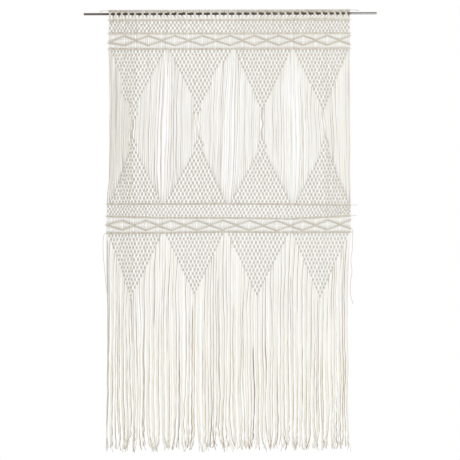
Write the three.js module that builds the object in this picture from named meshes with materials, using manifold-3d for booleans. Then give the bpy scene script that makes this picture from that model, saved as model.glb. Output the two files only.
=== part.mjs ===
// A macrame curtain on a rod, in millimetres, +Z up.
// The origin is the middle of the rod's axis. X runs along the rod, and the curtain's front faces -Y.
// Every place on the curtain is given by a strand, counted from the left edge, and a height.
import * as THREE from "three";
import { mergeVertices } from "three/addons/utils/BufferGeometryUtils.js";
import Module from "manifold-3d";

const wasm = await Module();
wasm.setup();

// ---- driving dimensions ----

const GAP = 0.3; // between pieces that meet
const SLANT_GAP = 0.9; // the same gap measured upright at a triangle's slanted side
const CORD = 3; // diameter of the cotton cord
const ROD = { radius: 6.25, length: 1585, sides: 32 };

const UNIT = 68; // strands in one unit of the pattern, from one line between triangles to the next
const UNITS = 4;
const STRANDS = UNIT * UNITS;
const GROUP = 4; // strands in one square knot, one tab or one tooth of a comb

const MOUNTING = { bottom: 9.6, top: 23.5, depth: 10, chamfer: 3 };
const MOUNTING_END = { inside: 8, outside: 48, drop: 3 }; // a loose end's stretch within and past the bar
const RIDGE = { half: 4.5, depth: 9, chamfer: 2.6 };
const NET_DEPTH = 6;
const ZIGZAG = {
  depth: 5,
  half: 4.2,
  rise: 26,
  closedEnd: 1.3, // the strand at which the leftmost diamond closes
  firstCrossing: 34,
  period: 28.1,
  crossings: 9,
};
const WEB_GROUP = 8; // strands in one tooth of the web behind a zigzag

const TAB = { spare: 0.7, thick: 2.6, clear: 0.6, upright: 6.8, lean: 0.4 };
// How far the tabs have slid along the rod, at a few strands.
const SLID = {
  strands: [0, 22, 30, 60, 70, 82, 94, 110, 126, 142, 166, 190, 238, 258, 272],
  by: [0, -5, 0, -3, -10, -16, -10, -6, 0, 1, 12, 10, 22, 12, 0],
};
const TOOTH_SPARE = 0.55; // strands left out on each side of a comb's tooth
const BACK = { flat: 3, slanted: 10, uneven: 1 }; // height of a comb's back under a ridge and a triangle
const FRINGE = { end: -2355, uneven: 17, ripple: 2.1, drift: 0.13, taper: 0.25, sway: 7, swing: 0.21 };
const HANG = { forward: 8, wave: 430, still: 0.35 }; // the soft waves of the fringe's lower part
const BASE_STRANDS = 2; // strands that hang free between a triangle's corner and its unit's line
const NECK_STRANDS = 31; // strands from a unit's line to where a triangle's slanted side ends
const TIP_STRANDS = 33; // and to the corner of its blunt tip

// x of nine strands at each height: the left edge, then each unit's middle and right-hand line.
const COLUMN_STRANDS = [0, 34, 68, 102, 136, 170, 204, 238, 272];
const LEVELS = [
  { z: -34, x: [-659, -513, -343, -162, 18, 176, 335, 494, 649] },
  { z: -190, x: [-660, -512, -344, -163, 17, 175, 335, 495, 648] },
  { z: -540, x: [-656, -527, -353, -177, 2, 170, 338, 503, 647] },
  { z: -667, x: [-657, -534, -358, -171, -1, 170, 341, 514, 649] },
  { z: -900, x: [-658, -533, -363, -183, -10, 164, 339, 510, 649] },
  { z: -1034, x: [-672, -526, -366, -192, -17, 160, 336, 504, 650] },
  { z: -1185, x: [-676, -526, -365, -196, -31, 146, 324, 485, 649] },
  { z: -1528, x: [-675, -544, -372, -200, -31, 139, 316, 481, 632] },
  { z: -2355, x: [-684, -535, -372, -204, -31, 142, 316, 478, 641] },
];

// Heights of each ridge at five strands, and how far its trimmed ends stand out at the left and right.
const RIDGE_STRANDS = [0, 68, 136, 204, 272];
const RIDGES = [
  { name: "ridge_1", z: [-34, -34, -34, -34, -34], leftEnd: 8, rightEnd: 8 },
  { name: "ridge_2", z: [-104, -106, -107, -107, -106], leftEnd: 7, rightEnd: 9 },
  { name: "ridge_3", z: [-189, -190, -190, -190, -190], leftEnd: 8, rightEnd: 8 },
  { name: "ridge_4", z: [-1029, -1029, -1028, -1033, -1038], leftEnd: 9, rightEnd: 38 },
  { name: "ridge_5", z: [-1094, -1104, -1105, -1111, -1095], leftEnd: 9, rightEnd: 30 },
  { name: "ridge_6", z: [-1186, -1185, -1180, -1185, -1184], leftEnd: 0, rightEnd: 9 },
];

// Heights at which each triangle's slanted sides end and its tip ends, from the left unit to the right one.
const TRIANGLE_ROWS = [
  {
    name: "upper_triangle",
    ridge: 2,
    down: true,
    necks: [-560, -528, -506, -502],
    tips: [-588, -545, -525, -523],
  },
  {
    name: "middle_triangle",
    ridge: 3,
    down: false,
    necks: [-701, -705, -700, -698],
    tips: [-659, -663, -671, -668],
  },
  {
    name: "lower_triangle",
    ridge: 5,
    down: true,
    necks: [-1515, -1499, -1504, -1510],
    tips: [-1556, -1518, -1527, -1538],
  },
];
const [UPPER, MIDDLE, LOWER] = TRIANGLE_ROWS;

// Routes of the two loose holding-cord ends, each from the point where it leaves the curtain.
const TAILS = [
  {
    name: "left_tail",
    points: [
      [-676.7, 0, -1186],
      [-684, -1, -1189],
      [-690, -4, -1208],
      [-692, -7, -1238],
      [-692, -9, -1275],
      [-690, -10, -1320],
      [-686, -10, -1360],
      [-682, -10, -1400],
      [-678, -11, -1445],
      [-673, -12, -1490],
      [-669, -12, -1530],
    ],
  },
  {
    name: "right_tail",
    points: [
      [649.8, -2.7, -1166],
      [655.5, -4, -1169],
      [657.6, -6, -1181],
      [657.9, -8, -1204],
      [657.4, -9, -1240],
      [655.6, -9, -1278],
      [651, -9, -1306],
      [647.2, -9, -1340],
      [653, -9, -1398],
      [645.5, -9, -1448],
      [643.5, -9, -1496],
      [647, -9.5, -1533],
      [657, -10, -1571],
    ],
  },
];
const TAIL = { sides: 8, step: 9 };

const COTTON = new THREE.MeshStandardMaterial({ color: 0xe9e5dc, roughness: 0.95, metalness: 0 });
const STEEL = new THREE.MeshStandardMaterial({ color: 0x5c5551, roughness: 0.35, metalness: 0.9 });

const group = new THREE.Group();

// ---- where things are ----

// The value at t in a table of rising stops, straight between them and carried on past the ends.
function between(stops, values, t) {
  let i = 0;
  while (i < stops.length - 2 && t > stops[i + 1]) i += 1;
  const share = (t - stops[i]) / (stops[i + 1] - stops[i]);
  return values[i] + share * (values[i + 1] - values[i]);
}

// x of a strand at a height. Above the first level the columns go straight up.
function strandX(strand, z) {
  const depths = LEVELS.map((level) => -level.z);
  const places = LEVELS.map((level) => between(COLUMN_STRANDS, level.x, strand));
  return between(depths, places, Math.max(-z, depths[0]));
}

function at(strand, z) {
  return new THREE.Vector2(strandX(strand, z), z);
}

function ridgeZ(ridge, strand) {
  return between(RIDGE_STRANDS, ridge.z, strand);
}

// The ends of a stretch of strands, with every column of the table that lies inside it.
function stations(from, to) {
  const inside = COLUMN_STRANDS.filter((s) => s > from && s < to);
  return [from, ...inside, to];
}

// Points a fixed distance above or below a ridge's middle line, from the left to the right.
function alongRidge(ridge, offset, from = 0, to = STRANDS) {
  return stations(from, to).map((s) => at(s, ridgeZ(ridge, s) + offset));
}

// z of a triangle's outline at a strand: its slanted side, its tip, or its ridge past its corner.
function triangleZ(row, strand) {
  const unit = Math.min(UNITS - 1, Math.floor(strand / UNIT));
  const inward = Math.min(strand - unit * UNIT, (unit + 1) * UNIT - strand);
  const base = ridgeZ(RIDGES[row.ridge], strand) + (row.down ? -1 : 1) * (RIDGE.half + GAP);
  const held = Math.min(TIP_STRANDS, Math.max(BASE_STRANDS, inward));
  return between([BASE_STRANDS, NECK_STRANDS, TIP_STRANDS], [base, row.necks[unit], row.tips[unit]], held);
}

// The strands, between two of them, at which the outline of a row of triangles has a point: a corner,
// one for each knot down a slanted side, the neck, and both ends of the blunt tip.
function outlineStrands(from, to) {
  const found = [];
  for (let unit = 0; unit < UNITS; unit += 1) {
    const left = unit * UNIT;
    const right = left + UNIT;
    const side = [];
    for (let inward = BASE_STRANDS; inward < NECK_STRANDS; inward += GROUP) side.push(inward);
    side.push(NECK_STRANDS, TIP_STRANDS);
    found.push(...side.map((s) => left + s), ...side.reverse().map((s) => right - s), right);
  }
  return [from, ...found.filter((s) => s > from && s < to), to];
}

// A point on the outline of a row of triangles, straight between outlineStrands, or one level with it.
function outlinePoint(row, strand, offset = 0) {
  const line = outlineStrands(0, STRANDS);
  const i = Math.min(line.length - 2, line.findLastIndex((s) => s <= strand));
  const [from, to] = [line[i], line[i + 1]].map((s) => at(s, triangleZ(row, s)));
  const point = from.lerp(to, (strand - line[i]) / (line[i + 1] - line[i]));
  point.y += offset;
  return point;
}

// ---- how solids are made ----

function add(name, geometry, material) {
  const mesh = new THREE.Mesh(geometry, material);
  mesh.name = name;
  group.add(mesh);
}

// An upright plate with the given outline in X and Z, centred on y, its edges chamfered if asked.
function plate(outline, depth, { y = 0, chamfer = 0 } = {}) {
  const made = new THREE.ExtrudeGeometry(outline, {
    depth: depth - 2 * chamfer,
    bevelEnabled: chamfer > 0,
    bevelThickness: chamfer,
    bevelSize: chamfer,
    bevelOffset: -chamfer,
    bevelSegments: 1,
  });
  made.rotateX(Math.PI / 2);
  made.translate(0, y + depth / 2 - chamfer, 0);
  return made;
}

function toSolid(geometry) {
  const bare = geometry.clone();
  bare.deleteAttribute("normal");
  bare.deleteAttribute("uv");
  const merged = mergeVertices(bare, 1e-4);
  return new wasm.Manifold(
    new wasm.Mesh({
      numProp: 3,
      vertProperties: merged.attributes.position.array,
      triVerts: new Uint32Array(merged.index.array),
    }),
  );
}

// One geometry out of several that touch or overlap.
function join(geometries) {
  const solid = geometries.map(toSolid).reduce((sum, next) => sum.add(next));
  const mesh = solid.getMesh();
  const made = new THREE.BufferGeometry();
  made.setAttribute("position", new THREE.BufferAttribute(mesh.vertProperties, 3));
  made.setIndex(new THREE.BufferAttribute(mesh.triVerts, 1));
  made.computeVertexNormals();
  return made;
}

// A round cord of the cotton's diameter along a curve.
function cord(curve, steps, sides) {
  const section = new THREE.Shape();
  for (let i = 0; i < sides; i += 1) {
    const turn = (2 * Math.PI * i) / sides;
    const point = [(CORD / 2) * Math.cos(turn), (CORD / 2) * Math.sin(turn)];
    if (i === 0) section.moveTo(...point);
    else section.lineTo(...point);
  }
  section.closePath();
  return new THREE.ExtrudeGeometry(section, { steps, extrudePath: curve, bevelEnabled: false });
}

function straightCord(from, to) {
  const curve = new THREE.LineCurve3(new THREE.Vector3(...from), new THREE.Vector3(...to));
  return cord(curve, 1, TAIL.sides);
}

// The lower edge of a back that hangs under a row of triangles.
function underTriangles(row) {
  return (strand) => outlinePoint(row, strand, -SLANT_GAP - BACK.slanted + BACK.uneven * Math.sin(strand));
}

// A comb: a back that follows the upper line, with one tooth for each pair of strands in the list.
// tooth(from, to) gives a tooth's lower outline from its right top round to its left top.
function combOutline(upper, back, teeth, tooth) {
  const lower = [];
  for (const [left, right] of [...teeth].reverse()) {
    const [from, to] = [left + TOOTH_SPARE, right - TOOTH_SPARE];
    lower.push(back(to), ...tooth(from, to), back(from));
  }
  return new THREE.Shape([...upper, ...lower]);
}

// Pairs of strands, a group wide, that cover a stretch from the left to the right.
function groups(from, to, size) {
  const found = [];
  for (let s = from; s < to; s += size) found.push([s, Math.min(s + size, to)]);
  return found;
}

// ---- the pieces ----

function makeRod() {
  const rod = new THREE.CylinderGeometry(ROD.radius, ROD.radius, ROD.length, ROD.sides);
  rod.rotateZ(Math.PI / 2);
  add("rod", rod, STEEL);
}

function makeMountingCord() {
  const { top, bottom, depth, chamfer } = MOUNTING;
  const [left, right] = [strandX(0, 0), strandX(STRANDS, 0)];
  const outline = [
    [left, bottom],
    [right, bottom],
    [right, top],
    [left, top],
  ];
  const bar = plate(new THREE.Shape(outline.map((p) => new THREE.Vector2(...p))), depth, { chamfer });
  const level = (top + bottom) / 2;
  const ends = [
    { x: left, way: -1 },
    { x: right, way: 1 },
  ].map(({ x, way }) => {
    const inner = [x - way * MOUNTING_END.inside, 0, level];
    return straightCord(inner, [x + way * MOUNTING_END.outside, 0, level - MOUNTING_END.drop]);
  });
  add("mounting_cord", join([bar, ...ends]), COTTON);
}

// Groups of four strands that pass in front of the rod and behind it by turns, on one thin back.
function makeHeading() {
  const bottom = ridgeZ(RIDGES[0], 0) + RIDGE.half + GAP;
  const round = ROD.radius + TAB.clear + TAB.thick / 2;
  const side = [
    [TAB.lean * round, MOUNTING.bottom - GAP],
    [round, TAB.upright / 2],
    [round, -TAB.upright / 2],
    [0, bottom],
  ];
  const pieces = groups(0, STRANDS, GROUP).map(([from, to], i) => {
    const facing = i % 2 === 0 ? -1 : 1;
    const slid = between(SLID.strands, SLID.by, (from + to) / 2);
    const [left, right] = [strandX(from, 0) + TAB.spare, strandX(to, 0) - TAB.spare];
    const outer = side.map(([y, z]) => new THREE.Vector2(facing * (y + TAB.thick / 2), z));
    const inner = side.map(([y, z]) => new THREE.Vector2(facing * (y - TAB.thick / 2), z));
    const strip = new THREE.Shape([...outer, ...inner.reverse()]);
    const made = new THREE.ExtrudeGeometry(strip, { depth: right - left, bevelEnabled: false });
    // The section's own x and y become the curtain's y and z, and its depth runs along the rod.
    const turned = new THREE.Matrix4().makeBasis(
      new THREE.Vector3(0, 1, 0),
      new THREE.Vector3(0, 0, 1),
      new THREE.Vector3(1, 0, 0),
    );
    return made.applyMatrix4(turned).translate(left + slid, 0, 0);
  });
  const top = bottom + BACK.flat;
  const back = new THREE.Shape([at(0, bottom), at(STRANDS, bottom), at(STRANDS, top), at(0, top)]);
  add("heading", join([plate(back, TAB.thick), ...pieces]), COTTON);
}

// A holding cord covered in hitches, with its trimmed ends.
function makeRidge(ridge) {
  const outline = [...alongRidge(ridge, -RIDGE.half), ...alongRidge(ridge, RIDGE.half).reverse()];
  const pieces = [plate(new THREE.Shape(outline), RIDGE.depth, { chamfer: RIDGE.chamfer })];
  const inside = 6;
  const ends = [
    { strand: 0, way: -1, length: ridge.leftEnd },
    { strand: STRANDS, way: 1, length: ridge.rightEnd },
  ];
  for (const { strand, way, length } of ends.filter((end) => end.length > 0)) {
    const middle = at(strand, ridgeZ(ridge, strand));
    const start = [middle.x - way * inside, 0, middle.y];
    pieces.push(straightCord(start, [middle.x + way * length, 0, middle.y]));
  }
  add(ridge.name, join(pieces), COTTON);
}

// A band of net between two ridges.
function makeNetBand(name, above, below) {
  const clear = RIDGE.half + GAP;
  const outline = [...alongRidge(above, -clear), ...alongRidge(below, clear).reverse()];
  add(name, plate(new THREE.Shape(outline), NET_DEPTH), COTTON);
}

// The strands between two ridges, as a comb behind a zigzag.
function makeWeb(name, above, below) {
  const clear = RIDGE.half + GAP;
  const foot = (s) => at(s, ridgeZ(below, s) + clear);
  const back = (s) => at(s, ridgeZ(above, s) - clear - BACK.flat);
  const outline = combOutline(alongRidge(above, -clear), back, groups(0, STRANDS, WEB_GROUP), (from, to) => [
    foot(to),
    foot(from),
  ]);
  add(name, plate(outline, CORD, { y: GAP / 2 + CORD / 2 }), COTTON);
}

// Two holding cords that cross and part again, as one open row of diamonds in front of the web.
// The leftmost diamond is a little wider than the rest. raised is how far the middle line is moved up,
// and dip how far it sinks towards the left edge.
function makeZigzag(name, above, below, raised, dip) {
  const { closedEnd, firstCrossing, period, crossings, rise, half, depth } = ZIGZAG;
  const firstWidest = firstCrossing - period / 2;
  const stretch = period / 2 / (firstWidest - closedEnd);
  const sunk = (s) => dip * Math.max(0, 1 - s / firstWidest);
  const middle = (s) => (ridgeZ(above, s) + ridgeZ(below, s)) / 2 + raised - sunk(s);
  const nearEdge = (s) => firstWidest + (Math.max(s, closedEnd) - firstWidest) * stretch;
  const regular = (s) => (s < firstWidest ? nearEdge(s) : s);
  const phase = (s) => (regular(s) - firstCrossing) / period;
  const spread = (s) => rise * (1 - 2 * Math.abs(phase(s) - Math.floor(phase(s)) - 0.5));
  const point = (s, way, offset) => at(s, middle(s) + way * spread(s) + offset);

  const turns = [closedEnd];
  for (let i = -1; i <= 2 * crossings; i += 1) turns.push(firstCrossing + (i * period) / 2);
  const line = [0, ...turns.filter((s) => s < STRANDS), STRANDS];
  const apart = (period / 2) * (half / rise);
  const lastCrossing = firstCrossing + (crossings - 1) * period;
  const openEnd = [
    point(STRANDS, 1, -half),
    at(lastCrossing + apart, middle(lastCrossing)),
    point(STRANDS, -1, half),
  ];
  const outline = [
    ...line.map((s) => point(s, 1, half)),
    ...openEnd,
    ...[...line].reverse().map((s) => point(s, -1, -half)),
  ];
  const shape = new THREE.Shape(outline);
  for (let i = 0; i < crossings; i += 1) {
    const widest = firstWidest + i * period;
    const [from, to] = [i === 0 ? closedEnd : widest - period / 2, widest + period / 2];
    if (to > STRANDS) break;
    const corner = from + (apart * (widest - from)) / (period / 2);
    shape.holes.push(
      new THREE.Path([
        at(corner, middle(corner)),
        point(widest, -1, half),
        at(to - apart, middle(to)),
        point(widest, 1, -half),
      ]),
    );
  }
  add(name, plate(shape, depth, { y: -GAP / 2 - depth / 2 }), COTTON);
}

// Four triangles of net on one ridge.
function makeTriangles(row) {
  const ridge = RIDGES[row.ridge];
  const clear = (row.down ? -1 : 1) * (RIDGE.half + GAP);
  for (let unit = 0; unit < UNITS; unit += 1) {
    const from = unit * UNIT + BASE_STRANDS;
    const to = (unit + 1) * UNIT - BASE_STRANDS;
    const base = alongRidge(ridge, clear, from, to);
    const sides = outlineStrands(from, to).slice(1, -1).reverse();
    const outline = [...base, ...sides.map((s) => at(s, triangleZ(row, s)))];
    add(row.name + "_" + (unit + 1), plate(new THREE.Shape(outline), NET_DEPTH), COTTON);
  }
}

// The free strings between the upper and middle triangles, from one tip to the next.
function makeStrings(name, from, to) {
  const head = (s) => outlinePoint(UPPER, s, -SLANT_GAP);
  const foot = (s) => outlinePoint(MIDDLE, s, SLANT_GAP);
  const upper = outlineStrands(from + TOOTH_SPARE, to - TOOTH_SPARE).map(head);
  const feet = (a, b) => outlineStrands(a, b).reverse().map(foot);
  const outline = combOutline(upper, underTriangles(UPPER), groups(from, to, GROUP), feet);
  add(name, plate(outline, CORD), COTTON);
}

// The fringe: one comb below the last triangles. Its teeth taper, end unevenly and sway a little.
function makeFringe() {
  const head = (s) => outlinePoint(LOWER, s, -SLANT_GAP);
  const end = (s) => FRINGE.end + FRINGE.uneven * Math.sin(FRINGE.ripple * s) * Math.cos(FRINGE.drift * s);
  const tooth = (from, to) => {
    const middle = (from + to) / 2;
    const top = head(middle).y;
    const low = end(Math.round(middle));
    const hung = (s, fall) => {
      const point = at(s + FRINGE.taper * Math.sign(middle - s), top + fall * (low - top));
      point.x += fall * FRINGE.sway * Math.sin(FRINGE.swing * middle);
      return point;
    };
    return [hung(to, 0.5), hung(to, 1), hung(from, 1), hung(from, 0.5)];
  };
  const upper = outlineStrands(0, STRANDS).map(head);
  const outline = combOutline(upper, underTriangles(LOWER), groups(0, STRANDS, GROUP), tooth);
  const made = plate(outline, CORD);
  const position = made.attributes.position;
  const top = ridgeZ(RIDGES[5], 0);
  for (let i = 0; i < position.count; i += 1) {
    const fallen = Math.max(0, (top - position.getZ(i)) / (top - FRINGE.end) - HANG.still);
    const forward = HANG.forward * fallen * Math.sin((2 * Math.PI * position.getX(i)) / HANG.wave);
    position.setY(i, position.getY(i) + forward);
  }
  add("fringe", made, COTTON);
}

function makeTail(tail) {
  const curve = new THREE.CatmullRomCurve3(tail.points.map((p) => new THREE.Vector3(...p)));
  add(tail.name, cord(curve, Math.round(curve.getLength() / TAIL.step), TAIL.sides), COTTON);
}

makeRod();
makeMountingCord();
makeHeading();
RIDGES.forEach(makeRidge);
makeNetBand("upper_net_band", RIDGES[0], RIDGES[1]);
makeNetBand("lower_net_band", RIDGES[3], RIDGES[4]);
makeWeb("upper_web", RIDGES[1], RIDGES[2]);
makeWeb("lower_web", RIDGES[4], RIDGES[5]);
makeZigzag("upper_zigzag", RIDGES[1], RIDGES[2], 3, 12);
makeZigzag("lower_zigzag", RIDGES[4], RIDGES[5], -1.5, 0);
TRIANGLE_ROWS.forEach(makeTriangles);
for (let i = 0; i <= UNITS; i += 1) {
  const middle = (i - 0.5) * UNIT;
  makeStrings("strings_" + (i + 1), Math.max(0, middle), Math.min(STRANDS, middle + UNIT));
}
makeFringe();
TAILS.forEach(makeTail);

export default group;
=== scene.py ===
"""A macrame curtain on a steel rod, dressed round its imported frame, in metres, +Z up.

The curtain is knotted from 272 strands of cotton cord, doubled over a mounting cord. Every piece is
made of the same strands, numbered from the left edge, so a strand runs on from one piece to the next:
heading, net bands of square knots, zigzag bands, triangles, open strings and fringe.
"""

import logging
import math
from dataclasses import dataclass, field
from enum import Enum

import bpy
import numpy as np
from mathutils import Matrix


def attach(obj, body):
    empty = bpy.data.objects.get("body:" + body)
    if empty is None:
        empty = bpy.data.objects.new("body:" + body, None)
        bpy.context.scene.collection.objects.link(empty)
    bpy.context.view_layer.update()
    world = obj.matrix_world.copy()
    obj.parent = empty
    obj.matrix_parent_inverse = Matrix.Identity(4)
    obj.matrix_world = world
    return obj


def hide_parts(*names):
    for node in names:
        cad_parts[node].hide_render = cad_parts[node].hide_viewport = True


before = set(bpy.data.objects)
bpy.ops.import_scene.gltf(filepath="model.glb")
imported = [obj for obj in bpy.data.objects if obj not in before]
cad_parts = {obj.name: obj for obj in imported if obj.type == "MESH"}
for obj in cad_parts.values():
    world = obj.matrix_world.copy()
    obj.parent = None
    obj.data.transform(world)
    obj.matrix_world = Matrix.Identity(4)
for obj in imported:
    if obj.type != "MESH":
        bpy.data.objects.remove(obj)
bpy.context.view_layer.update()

LOG = logging.getLogger("curtain")

# ---- the curtain's layout ----

CORD = 0.003  # diameter of the cotton cord
UNIT = 68  # strands in one unit of the pattern
UNITS = 4
STRANDS = UNIT * UNITS
GROUP = 4  # strands in one square knot
WIDTH = 1.308  # the curtain's at its top
PITCH = WIDTH / STRANDS  # from strand to strand
RIDGE_HALF = 0.0045  # half the height of a hitched ridge
ROD_RADIUS = 0.00625
HOLDING_TONE = 0.86  # painted shade: how pale a holding cord is drawn, darker as it lies inside its hitches
# The ridges from which the strings, the middle triangles and the fringe hang.
UPPER_RIDGE_Z, MIDDLE_RIDGE_Z, LOWER_RIDGE_Z = -0.190, -1.029, -1.185

COLUMN_STRANDS = (0, 34, 68, 102, 136, 170, 204, 238, 272)
RIDGE_STRANDS = (0, 68, 136, 204, 272)


class Way(Enum):
    """Up or down, as the sign of a height."""

    UP = 1
    DOWN = -1


@dataclass(frozen=True)
class Level:
    """Where the nine column strands hang at one height."""

    z: float
    x: tuple[float, ...]


LEVELS = (
    Level(-0.034, (-0.659, -0.513, -0.343, -0.162, 0.018, 0.176, 0.335, 0.494, 0.649)),
    Level(-0.190, (-0.660, -0.512, -0.344, -0.163, 0.017, 0.175, 0.335, 0.495, 0.648)),
    Level(-0.540, (-0.656, -0.527, -0.353, -0.177, 0.002, 0.170, 0.338, 0.503, 0.647)),
    Level(-0.667, (-0.657, -0.534, -0.358, -0.171, -0.001, 0.170, 0.341, 0.514, 0.649)),
    Level(-0.900, (-0.658, -0.533, -0.363, -0.183, -0.010, 0.164, 0.339, 0.510, 0.649)),
    Level(-1.034, (-0.672, -0.526, -0.366, -0.192, -0.017, 0.160, 0.336, 0.504, 0.650)),
    Level(-1.185, (-0.676, -0.526, -0.365, -0.196, -0.031, 0.146, 0.324, 0.485, 0.649)),
    Level(-1.528, (-0.675, -0.544, -0.372, -0.200, -0.031, 0.139, 0.316, 0.481, 0.632)),
    Level(-2.355, (-0.684, -0.535, -0.372, -0.204, -0.031, 0.142, 0.316, 0.478, 0.641)),
)


@dataclass(frozen=True)
class RidgeLine:
    """A hitched ridge: its height at five strands, and how far its trimmed ends stand out."""

    name: str
    z: tuple[float, ...]
    left_end: float
    right_end: float


RIDGE_LINES = (
    RidgeLine("ridge_1", (-0.034, -0.034, -0.034, -0.034, -0.034), 0.008, 0.008),
    RidgeLine("ridge_2", (-0.104, -0.106, -0.107, -0.107, -0.106), 0.007, 0.009),
    RidgeLine("ridge_3", (-0.189, -0.190, -0.190, -0.190, -0.190), 0.008, 0.008),
    RidgeLine("ridge_4", (-1.029, -1.029, -1.028, -1.033, -1.038), 0.009, 0.038),
    RidgeLine("ridge_5", (-1.094, -1.104, -1.105, -1.111, -1.095), 0.009, 0.030),
    RidgeLine("ridge_6", (-1.186, -1.185, -1.180, -1.185, -1.184), 0.0, 0.009),
)


def strand_x(strand: np.ndarray | float, z: np.ndarray | float) -> np.ndarray:
    """Gives where strands hang at given heights.

    Args:
        strand: Strand numbers, counted from the left edge.
        z: Heights, of a shape that goes with the strands'.

    Returns:
        The x of each strand at each height.
    """
    strand, z = np.broadcast_arrays(np.asarray(strand, float), np.asarray(z, float))
    depths = np.array([-level.z for level in LEVELS])
    places = np.stack([np.interp(strand, COLUMN_STRANDS, level.x) for level in LEVELS])
    depth = np.clip(-z, depths[0], depths[-1])
    above = np.clip(np.searchsorted(depths, depth, side="right") - 1, 0, len(depths) - 2)
    share = (depth - depths[above]) / (depths[above + 1] - depths[above])
    low = np.take_along_axis(places, above[None], axis=0)[0]
    high = np.take_along_axis(places, above[None] + 1, axis=0)[0]
    return low + share * (high - low)


def ridge_z(line: RidgeLine, strand: np.ndarray | float) -> np.ndarray:
    """Gives the height of a ridge's middle at given strands."""
    return np.interp(strand, RIDGE_STRANDS, line.z)


def middle_of(strand: int | np.ndarray) -> float | np.ndarray:
    """Gives the place of a strand's own middle on the strand scale."""
    return strand + 0.5


def between(ends: tuple[float, float], share: np.ndarray | float) -> np.ndarray | float:
    """Gives the value at a share of the way from one end to the other."""
    return ends[0] + (ends[1] - ends[0]) * share


def wave(turns: np.ndarray | float) -> np.ndarray:
    """Gives the height of a wave after a number of its lengths."""
    return np.sin(2 * np.pi * turns)


def leaned(points: np.ndarray, lean: float) -> np.ndarray:
    """Turns points in the curtain's plane about their origin.

    Args:
        points: The points, n by 3.
        lean: By how much their right side rises, in radians.

    Returns:
        The turned points.
    """
    x, y, z = points.T
    cos, sin = math.cos(lean), math.sin(lean)
    return np.stack([x * cos - z * sin, y, x * sin + z * cos], axis=1)


# ---- strands as meshes ----


@dataclass(frozen=True)
class Strand:
    """One cord to be drawn: its points, its radius at each, and its tone: how pale its cotton is drawn,
    with painted shade and painted light multiplied in.
    """

    points: np.ndarray
    radius: np.ndarray | float = CORD / 2
    tone: np.ndarray | float = 1.0


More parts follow.
